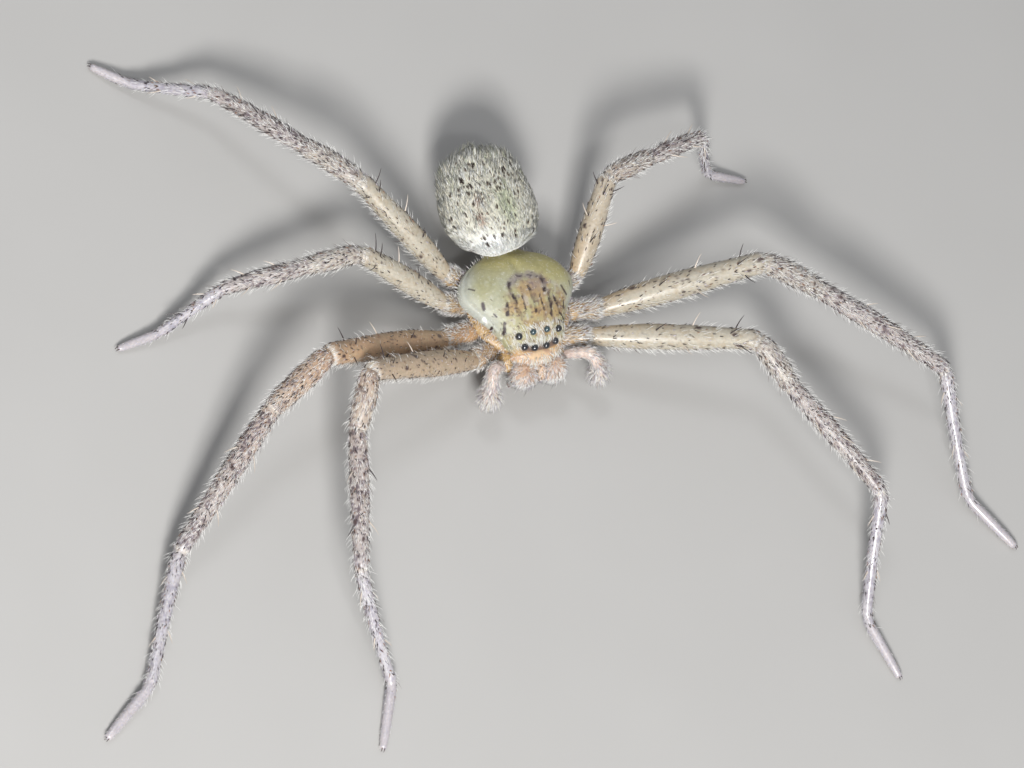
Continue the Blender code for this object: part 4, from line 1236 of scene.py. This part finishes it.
def make_leg(side, number, draw):
    """One leg: a shell from hip to toe, its coat, long bristles, foot brush, spines and claws. The
    leg with no turns of its own is a hip piece with its coat alone."""
    joints = leg_joints(side, number)
    thickness = LEG_THICKNESS[number - 1]
    whole = len(joints) > 2
    if not whole:
        joints[1] -= unit(joints[1] - joints[0]) * STUMP_CUT
    centres, s, place, stations = leg_path(joints)
    if not whole:
        place = place * STUMP_SHARE
    radii = leg_radii(s, place, stations, thickness)
    grid, middles = tube_grid(centres, radii, LEG_COLUMNS, SEGMENT_FLATNESS, True)
    grid[..., 2] = np.maximum(grid[..., 2], 0.02)
    turn = np.broadcast_to(ring_angles(LEG_COLUMNS), grid.shape[:2])
    places = np.broadcast_to(place[:, None], grid.shape[:2])
    spots = leg_spots(draw)
    tint = leg_tint(grid, places, turn, spots, LEG_WARMTH_BOUNCE_AND_SHADE.get((side, number), 0.0))
    name = f"leg_{side}_{number}"
    shine = 0.17 + 0.83 * step(3.9, 4.25, places) - 0.07 * step(1.9, 2.1, places) * (places < 4)
    shine = shine * (0.75 + 0.25 * lattice_noise(grid, 0.3, 63))
    shell = closed_grid(f"{name}_shell", grid, (centres[0], centres[-1]), tint, LEG_GLOSS,
                        masks={"shine": shine})
    nodes = SEGMENTS if whole else SEGMENTS[:1]
    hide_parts(*[f"{name}_{kind}" for kind in nodes])
    make_leg_coat(name, grid, middles, place, spots, draw)
    if whole:
        make_leg_bristles(name, grid, middles, place, draw)
        make_foot_brush(name, grid, middles, place, draw)
        make_spines(name, joints, thickness, draw)
        make_claws(name, joints, draw)


def make_leg_coat(name, grid, middles, place, spots, draw):
    """Flat hairs that lie towards the toe, in streaks on the femur, thin at the knee and on the
    front of the foot, none over the dark spots, and coloured in step with the shell's blotches."""
    swung = signed_angles(LEG_COLUMNS)[None, :]
    streaks = np.maximum(hill(np.abs(swung), 1.5, 0.34), hill(swung, 0.3, 0.3))
    femur = (step(1.0, 1.12, place) * (1 - step(1.75, 2.0, place)))[:, None]
    foot = step(4.0, 4.2, place)[:, None]
    density = np.interp(place, HAIR_PLACES, HAIRS_PER_MM2)[:, None]
    density = density * (1 + femur * (0.3 + 1.2 * streaks - 1))
    density = density * (1 - 0.65 * hill(place, 2.95, 0.05))[:, None]
    density = density * (1 + foot * (0.12 + 1.7 * hill(swung, 1.6, 0.6) - 1))
    hair = scatter(grid, middles, density, draw)
    where = np.interp(hair["row"], np.arange(len(place)), place)
    round_leg = 2 * np.pi * hair["column"] / LEG_COLUMNS
    clear = np.ones(hair["count"], bool)
    for spot in spots:
        clear &= spot_distance(where + 0.02, round_leg, spot) > spot[2] * 1.5
    hair, where = chosen(hair, clear), where[clear]
    index = np.minimum(where.astype(int), 5)
    change = leg_blotches(hair["root"], where) * np.where(index > 1, 1.0, 0.12)
    chances = along_leg(LEG_HAIR_CHANCES, where) + change[:, None] * np.array(BLOTCH_HAIR_CHANGE)
    tint = palette_tint(hair, (WHITE, CREAM, LILAC, BROWN, DARK), np.maximum(chances, 0), draw)
    hair = turned(hair, draw.normal(0, 1, hair["count"]) * np.where(index == 1, 0.14, 0.26))
    # Roots at 0.82 of the tint: painted shade deep in the coat; the tips a little whiter
    strands(f"{name}_coat", hair, (np.array(HAIR_LENGTH)[index], 0.35), np.where(index == 5, 0.04, 0.05),
            (np.array(HAIR_LIFT)[index], 0.5), 0.35, 0.82 * tint, "leg", draw, tip=mix(tint, WHITE, 0.15))


def make_leg_bristles(name, grid, middles, place, draw):
    """Long fine hairs that stand out from the leg, pale for the most part, and short dark ones."""
    swung = signed_angles(LEG_COLUMNS)[None, :]
    femur = ((place > 1) & (place < 2))[:, None]
    fringe = np.where(femur, 0.3 + 2.2 * hill(swung, -2.0, 0.6), 1.0)
    density = np.interp(place, BRISTLE_PLACES, BRISTLES_PER_MM2)[:, None]
    hair = swayed(scatter(grid, middles, density * fringe, draw), 0.3, draw)
    tint = np.where((draw.random(hair["count"]) < 0.92)[:, None], WHITE, BRISTLE_BLACK)
    strands(f"{name}_bristles", hair, *STRANDS["leg bristle"], tint, "leg", draw, levels=BRISTLE_LEVELS)
    density = np.interp(place, DASH_PLACES, DASHES_PER_MM2)[:, None]
    hair = swayed(scatter(grid, middles, density, draw), 0.3, draw)
    tint = palette_tint(hair, (DARK, BROWN, LILAC), (0.75, 0.15, 0.1), draw)
    strands(f"{name}_dashes", hair, *STRANDS["leg dash"], tint, "leg", draw, sink=0.0)


def make_foot_brush(name, grid, middles, place, draw):
    """A dense brush of short soft hairs under the foot and along the lower sides of the metatarsus,
    shorter and flatter near the floor."""
    lower = step(-0.2, 0.5, -np.cos(ring_angles(LEG_COLUMNS)))[None, :]
    along = (step(4.25, 4.6, place) * (place < 5) * 0.8 + (place >= 5))[:, None]
    hair = scatter(grid, middles, BRUSH_PER_MM2 * along * lower, draw)
    hair = chosen(hair, hair["root"][:, 2] > 0.12)
    tint = palette_tint(hair, BRUSH_COLOURS, (0.5, 0.3, 0.2), draw)
    low = np.clip(hair["root"][:, 2] / 0.6, 0.15, 1)
    strands(f"{name}_brush", hair, (0.3 * low, 0.3), 0.045, (0.85 * low, 0.2), 0.2, tint, "leg", draw,
            look=SOFT_HAIR)


def make_spines(name, joints, thickness, draw):
    """Slender spines that stand on the femur, tibia and metatarsus at their named places: dark on
    top of the femur and near its end, and most of the others pale."""
    roots, lies, outs, lengths, lifts, tints = [], [], [], [], [], []
    for kind, spines in SPINES.items():
        index = SEGMENTS.index(kind)
        start, end = joints[index], joints[index + 1]
        ahead = unit(end - start)
        level, upper = cross_axes(ahead)
        rearward = level * (1 if level[1] > 0 else -1)
        for share, turn in spines:
            share += draw.uniform(-0.025, 0.025)
            angle = math.radians(turn + draw.uniform(-7, 7))
            out = upper * math.cos(angle) + rearward * math.sin(angle)
            radius = smooth_curve(RADIUS[kind], np.array([share]))[0] * thickness - COAT_DEPTH[index]
            radius *= math.hypot(SEGMENT_FLATNESS * math.cos(angle), math.sin(angle))
            lift = upper * (BOW[index] * np.linalg.norm(end - start) * 4 * share * (1 - share))
            roots.append(start + (end - start) * share + out * radius + lift)
            lies.append(ahead)
            outs.append(out)
            lengths.append(SPINE_LENGTH[kind] * draw.uniform(0.8, 1.1))
            lifts.append(SPINE_LIFT[kind] * draw.uniform(0.85, 1.15))
            dorsal = kind == "femur" and (abs(turn) < 20 or share > 0.7)
            tints.append(DARK if dorsal or draw.random() < 0.15 else SPINE_HORN)
    tints = np.array(tints)
    strands(f"{name}_spines", bundle(roots, lies, outs, 0.05), np.array(lengths), 0.11, np.array(lifts),
            0.3, tints, "leg", draw, look=SPINE_LOOK, tip=tints * 0.7, sides=8, levels=SPINE_LEVELS,
            sink=0.1)


def make_claws(name, joints, draw):
    """Two small curved claws at the toe, half hidden in the brush."""
    ahead = unit(joints[-1] - joints[-2])
    level, upper = cross_axes(ahead)
    root = joints[-1] + ahead * 0.1 + upper * 0.16
    pair = bundle((root + level * 0.11, root - level * 0.11), (ahead, ahead), (upper, upper), 0.3)
    tint = np.array((DARK, DARK)) * 2.0
    strands(f"{name}_claws", pair, *STRANDS["claw"], tint, "leg", draw, look=HORN, tip=tint * 0.6,
            sides=8, levels=CLAW_LEVELS, sink=0.02)


def make_palp(side, draw):
    """A feeler: rings along a smooth path through its joints, thicker and brushy at its end."""
    outward = OUTWARD[side]
    points = [np.array((outward * PALP_ROOT[0], PALP_ROOT[1], PALP_ROOT[2]))]
    for length, turn, rise in zip(PALP_LENGTHS, PALP_TURN[side], PALP_RISE[side]):
        points.append(points[-1] + heading(side, turn, rise) * length)
    share = np.linspace(0, 1, PALP_RINGS)
    centres = np.stack([smooth_curve([p[axis] for p in points], share) for axis in range(3)], -1)
    end = unit(centres[-1] - centres[-2])
    centres = centres + end * 0.3 * step(0.6, 1.0, share)[:, None]
    radii = smooth_curve(PALP_RADIUS, share) - PALP_COAT
    for joint in (0.25, 0.5, 0.75):
        radii = radii * (1 - 0.12 * hill(share, joint, 0.02))
    radii = radii * np.sqrt(np.maximum(1 - np.clip((share - 0.86) / 0.14, 0, 0.995) ** 2, 0))
    grid, middles = tube_grid(centres, radii, PALP_COLUMNS, SEGMENT_FLATNESS, True)
    tint = mix(PALP_PALE, PALP_DULL, lattice_noise(grid, 0.4, 71))
    tint = mix(tint, BROWN, 0.5 * step(0.62, 0.75, lattice_noise(grid, 0.3, 72)))
    skin = closed_grid(f"palp_{side}_skin", grid, (centres[0], centres[-1]), tint, LEG_SHELL)
    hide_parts(f"palp_{side}")
    hair = scatter(grid, middles, np.interp(share, PALP_PLACES, PALP_PER_MM2)[:, None], draw)
    far = hair["row"] / (len(share) - 1)
    chances = mix((0.6, 0.15, 0.2, 0.06, 0.02), (0.5, 0.15, 0.4, 0.06, 0.02), far)
    tint = palette_tint(hair, (WHITE, CREAM, LILAC, BROWN, DARK), chances, draw)
    # Roots at 0.92 of the tint: painted shade deep in the coat; the tips whiter
    strands(f"palp_{side}_coat", swayed(hair, 0.3, draw), (0.4 + 0.38 * far, 0.35), 0.04,
            (0.36 + 0.5 * far, 0.4), 0.3, 0.92 * tint, "leg", draw, tip=mix(tint, WHITE, 0.3))


def make_jaw_skin(draw):
    """The soft skin between the tops of the two jaws, with hairs that hang over the gap."""
    centre = (0, CHEST_FRONT_Y - JAW_AHEAD - 0.25, JAW_TOP_Z - 0.95)
    skin = ellipsoid("jaw_skin", centre, (0.7, 0.85, 0.95), PEACH, SOFT_SKIN)
    side_hair("jaw_skin_hair", *skin, JAW_SKIN_PER_MM2, draw)


def make_jaw(side, draw):
    """A chelicera: flat rings down its length that bulge forward, with pale hairs and a fang."""
    outward = OUTWARD[side]
    y = CHEST_FRONT_Y - JAW_AHEAD
    top = np.array((outward * JAW_HALF_SPACING, y, JAW_TOP_Z))
    bottom = np.array((outward * (JAW_HALF_SPACING - 0.05), y, JAW_BOTTOM_Z))
    share = np.linspace(0, 1, JAW_RINGS)[:, None]
    centres = top + (bottom - top) * share
    centres[:, 1] -= 0.35 * np.sin(np.pi * np.minimum(share[:, 0] * 1.2, 1))
    size = JAW_RADIUS * smooth_curve((0.12, 0.86, 1.02, 1.02, 0.96, 0.82, 0.5), share**0.8) - JAW_COAT
    turn = ring_angles(JAW_COLUMNS)
    middles = np.broadcast_to(centres[:, None, :], (JAW_RINGS, JAW_COLUMNS, 3))
    grid = middles + np.stack((size * np.cos(turn), 0.9 * size * np.sin(turn), 0 * size * turn), -1)
    tint = mix(JAW_PALE, JAW_BROWN, step(0.3, 0.7, lattice_noise(grid, 0.4, 81)))
    tint = mix(tint, JAW_DARK, 0.7 * step(0.7, 0.8, lattice_noise(grid, 0.3, 82)))
    poles = (top + (0, 0, 0.08), bottom - (0, 0, 0.08))
    skin = closed_grid(f"chelicera_{side}_skin", grid, poles, tint, LEG_SHELL)
    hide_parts(f"chelicera_{side}")
    front = step(-0.2, 0.5, -np.sin(turn))[None, :]
    covered = 0.4 + 0.6 * np.maximum(front, 1 - step(0.1, 0.3, share))
    hair = scatter(grid, middles, JAW_PER_MM2 * covered, draw)
    far = hair["row"] / (len(share) - 1)
    chances = mix((0.54, 0.12, 0.2, 0.06), (0.74, 0.0, 0.34, 0.06), far)
    tint = palette_tint(hair, (WHITE, PEACH, LILAC, DARK), chances, draw)
    # Roots at 0.85 of the tint: painted shade deep in the coat; the tips whiter
    strands(f"chelicera_{side}_coat", swayed(hair, 0.3, draw), (0.5 + 0.35 * far, 0.35), 0.044,
            (0.45, 0.45), 0.3, 0.85 * tint, "jaw", draw, tip=mix(tint, WHITE, 0.3))
    hair = scatter(grid, middles, JAW_BRISTLES_PER_MM2 * front * step(0.15, 0.5, share), draw)
    hair = swayed(hair, 0.3, draw)
    tint = palette_tint(hair, (WHITE, LILAC, DARK), (0.74, 0.16, 0.1), draw)
    strands(f"chelicera_{side}_bristles", hair, *STRANDS["jaw bristle"], tint, "jaw", draw,
            levels=BRISTLE_LEVELS)
    make_fang(side, bottom + (outward * 0.2, -0.1, -0.4 - FANG_RADIUS))


def make_fang(side, root):
    """A fang: a tube along an arc that swings inward and to the rear, and thins to a point."""
    share = np.linspace(0, 1, 40)
    swing = FANG_SWING * share
    arc = (-OUTWARD[side] * 0.95 * np.sin(swing), 0.75 * (1 - np.cos(swing)), -0.28 * share)
    line = root + np.stack(arc, -1)
    grid = tube_grid(line, FANG_RADIUS * (1 - 0.95 * share**0.8), 24)[0]
    shade = mix(FANG_RED, FANG_BLACK, step(0.1, 0.6, share))
    tint = np.broadcast_to(shade[:, None, :], grid.shape)
    horn = closed_grid(f"fang_{side}_horn", grid, (line[0], line[-1]), tint, HORN)
    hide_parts(f"fang_{side}")


def make_eye(node):
    """An eye as a profile turned round its own axis: a dark socket ring that rises from the head,
    then a clear round lens."""
    low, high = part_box(node)
    centre = middle(node) - SHIFT
    radius = (high[0] - low[0]) / 2 / MM
    look_up = 1.0 if "front" in node else 2.2
    axis = unit(np.array((0.35 * centre[0], -1.0, look_up)))
    across = unit(np.cross(axis, (1.0, 0.0, 0.0)))
    other = np.cross(axis, across)
    t = np.linspace(0, 1, 60)[:-1]
    lens = np.maximum(np.pi * 0.5 * (t - 0.35) / 0.65, 0)
    profile = np.where(t < 0.35, 1.02 + 0.12 * np.sin(np.pi * t / 0.35), np.cos(lens)) * radius
    height = np.where(t < 0.35, -0.5 + 0.62 * t / 0.35, 0.12 + 0.9 * np.sin(lens)) * radius
    turn = ring_angles(48)[None, :, None]
    around = across * np.cos(turn) + other * np.sin(turn)
    grid = centre + height[:, None, None] * axis + profile[:, None, None] * around
    # The rear middle eyes' lenses take a faint blue: a painted reflection of their teal shine
    lens_tint = EYE_BLUE_REFLECTION if node.startswith("eye_rear_middle") else EYE_BLACK
    shade = mix(EYE_SOCKET, lens_tint, step(0.3, 0.36, t))
    tint = np.broadcast_to(shade[:, None, :], grid.shape)
    poles = (centre - 0.5 * radius * axis, centre + 1.02 * radius * axis)
    eye = closed_grid(f"{node}_lens", grid, poles, tint, EYE_LOOK)
    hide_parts(node)


def make_head_hair(grid, draw):
    """White hairs among the eyes that lean forward, dark bristles beside them, and a fine pale
    fringe along the carapace's edge."""
    x, y, z = grid[..., 0], grid[..., 1], grid[..., 2]
    centres = np.stack((0 * x, y, np.full(x.shape, 4.0)), -1)
    upper = step(4.9, 5.4, z)
    among = hill(x, 0, 2.1) * step(-2.0, -2.6, y) * upper
    hair = scatter(grid, centres, BROW_PER_MM2 * among, draw)
    eyes = np.array([middle(node) - SHIFT for node in EYE_NODES])
    gap = np.min(np.linalg.norm(hair["root"][:, None, :] - eyes[None], axis=-1), axis=1)
    band = line_distance(hair["root"][:, 0], hair["root"][:, 1], front_eye_line())
    hair = chosen(hair, (gap > EYE_CLEARANCE) & (band > BAND_CLEARANCE))
    tint = palette_tint(hair, (SNOW, CREAM, PEACH), (0.8, 0.15, 0.05), draw)
    swirl = 1.2 * (lattice_noise(hair["root"], 0.5, 91) - 0.5)
    hair = turned(hair, swirl + draw.normal(0, 0.15, hair["count"]))
    # Roots at 0.82 of the tint and tips at 0.94: the darker root is painted shade deep in the coat
    strands("brow_hair", hair, *STRANDS["brow"], 0.82 * tint, "carapace", draw, tip=0.94 * tint)
    hair = swayed(scatter(grid, centres, DOWN_PER_MM2 * upper * (1 - among), draw), 0.5, draw)
    tint = np.tile(SNOW, (hair["count"], 1))
    strands("chest_down", hair, *STRANDS["chest down"], tint, "carapace", draw)
    wide = step(0.35, 0.6, np.abs(x) / 3.2) * step(0.9, -1.2, y) * (1 - step(0.95, 1.1, np.abs(x) / 3.6))
    hair = swayed(scatter(grid, centres, HEAD_BRISTLES_PER_MM2 * wide * upper, draw), 0.6, draw)
    tint = np.tile(HEAD_BLACK, (hair["count"], 1))
    strands("head_bristles", hair, *STRANDS["head bristle"], tint, "carapace", draw)
    hair = scatter(grid, centres, FRINGE_PER_MM2 * hill(z, CHEST_RIM_Z + 0.05, 0.28), draw)
    outward = unit(hair["root"] * np.array((1, 1, 0)))
    hair["lie"] = unit(hair["lie"] * -0.4 + outward)
    tint = palette_tint(hair, (WHITE, LILAC), (0.55, 0.45), draw)
    strands("rim_fringe", hair, *STRANDS["rim fringe"], tint, "carapace", draw)


def make_floor():
    """A plain pale floor with a trace of grain."""
    made = bpy.data.materials.new("plain_floor")
    made.use_nodes = True
    nodes, links = made.node_tree.nodes, made.node_tree.links
    shader = nodes["Principled BSDF"]
    set_inputs(shader, {"Roughness": 0.75, "Specular IOR Level": 0.2})
    place = nodes.new("ShaderNodeTexCoord")
    noise = nodes.new("ShaderNodeTexNoise")
    noise.inputs["Scale"].default_value = 60.0
    ramp = nodes.new("ShaderNodeValToRGB")
    ramp.color_ramp.elements[0].color = (0.42, 0.415, 0.405, 1)
    ramp.color_ramp.elements[1].color = (0.45, 0.445, 0.435, 1)
    links.new(place.outputs["Object"], noise.inputs["Vector"])
    links.new(noise.outputs["Fac"], ramp.inputs["Fac"])
    links.new(ramp.outputs["Color"], shader.inputs["Base Color"])
    mesh = bpy.data.meshes.new("floor")
    half = 1.5
    mesh.from_pydata(
        [(-half, -half, 0), (half, -half, 0), (half, half, 0), (-half, half, 0)], [], [(0, 1, 2, 3)]
    )
    mesh.materials.append(made)
    floor = bpy.data.objects.new("floor", mesh)
    bpy.context.scene.collection.objects.link(floor)


def make_camera():
    """A long lens above and ahead of the animal's right side, rolled so that its head points down."""
    level = math.cos(CAMERA_ELEVATION)
    back = Vector((level * math.cos(CAMERA_AZIMUTH), level * math.sin(CAMERA_AZIMUTH),
                   math.sin(CAMERA_ELEVATION)))
    right = Vector((0, 0, 1)).cross(back).normalized()
    up = back.cross(right)
    turned_right = right * math.cos(CAMERA_ROLL) + up * math.sin(CAMERA_ROLL)
    turned_up = up * math.cos(CAMERA_ROLL) - right * math.sin(CAMERA_ROLL)
    data = bpy.data.cameras.new("camera")
    data.lens = CAMERA_LENS
    data.sensor_width = 36
    data.clip_start = 0.01
    camera = bpy.data.objects.new("camera", data)
    turn = Matrix((turned_right, turned_up, back)).transposed().to_4x4()
    camera.matrix_world = Matrix.Translation(CAMERA_AIM + back * CAMERA_DISTANCE) @ turn
    bpy.context.scene.collection.objects.link(camera)
    bpy.context.scene.camera = camera


def make_light(name, direction, distance, size, power, colour):
    """A square soft light that faces the animal from a direction."""
    data = bpy.data.lights.new(name, "AREA")
    data.size = size
    data.energy = power
    data.color = colour
    light = bpy.data.objects.new(name, data)
    place = Vector(direction).normalized() * distance
    light.location = place
    light.rotation_euler = (-place).to_track_quat("-Z", "Y").to_euler()
    bpy.context.scene.collection.objects.link(light)


# The lights: name, direction from the floor's middle, distance, size, power and colour
LIGHTS = (
    ("key", (-0.46, -0.62, 0.66), 0.45, 0.1, 2.4, (1.0, 0.985, 0.965)),
    ("streak", (-0.25, 0.4, 0.88), 0.5, 0.1, 0.3, (0.95, 0.97, 1.0)),
    ("catch", (-0.3, -0.42, 0.86), 0.5, 0.05, 0.35, (1.0, 1.0, 1.0)),
    ("top", (0.35, 0.5, 1.0), 0.5, 0.45, 0.2, (0.95, 0.97, 1.0)),
)


def make_studio():
    """A key light from ahead of the right legs, two small lights for the highlights, a wide top
    light and an even pale surround."""
    for light in LIGHTS:
        make_light(*light)
    world = bpy.data.worlds.new("surround")
    world.use_nodes = True
    set_inputs(world.node_tree.nodes["Background"], {"Color": (0.93, 0.95, 1.0, 1), "Strength": 0.28})
    bpy.context.scene.world = world
    bpy.context.scene.view_settings.view_transform = "Standard"


def main():
    """The camera, lights and floor, then the animal piece by piece from one row of random draws."""
    make_camera()
    make_studio()
    make_floor()
    draw = np.random.default_rng(SEED)
    carapace = make_carapace()
    make_underside(draw)
    make_head_hair(carapace, draw)
    make_face(draw)
    for node in EYE_NODES:
        make_eye(node)
    make_abdomen(draw)
    make_jaw_skin(draw)
    for side in OUTWARD:
        make_jaw(side, draw)
        make_palp(side, draw)
        for number in (1, 2, 3, 4):
            make_leg(side, number, draw)


main()
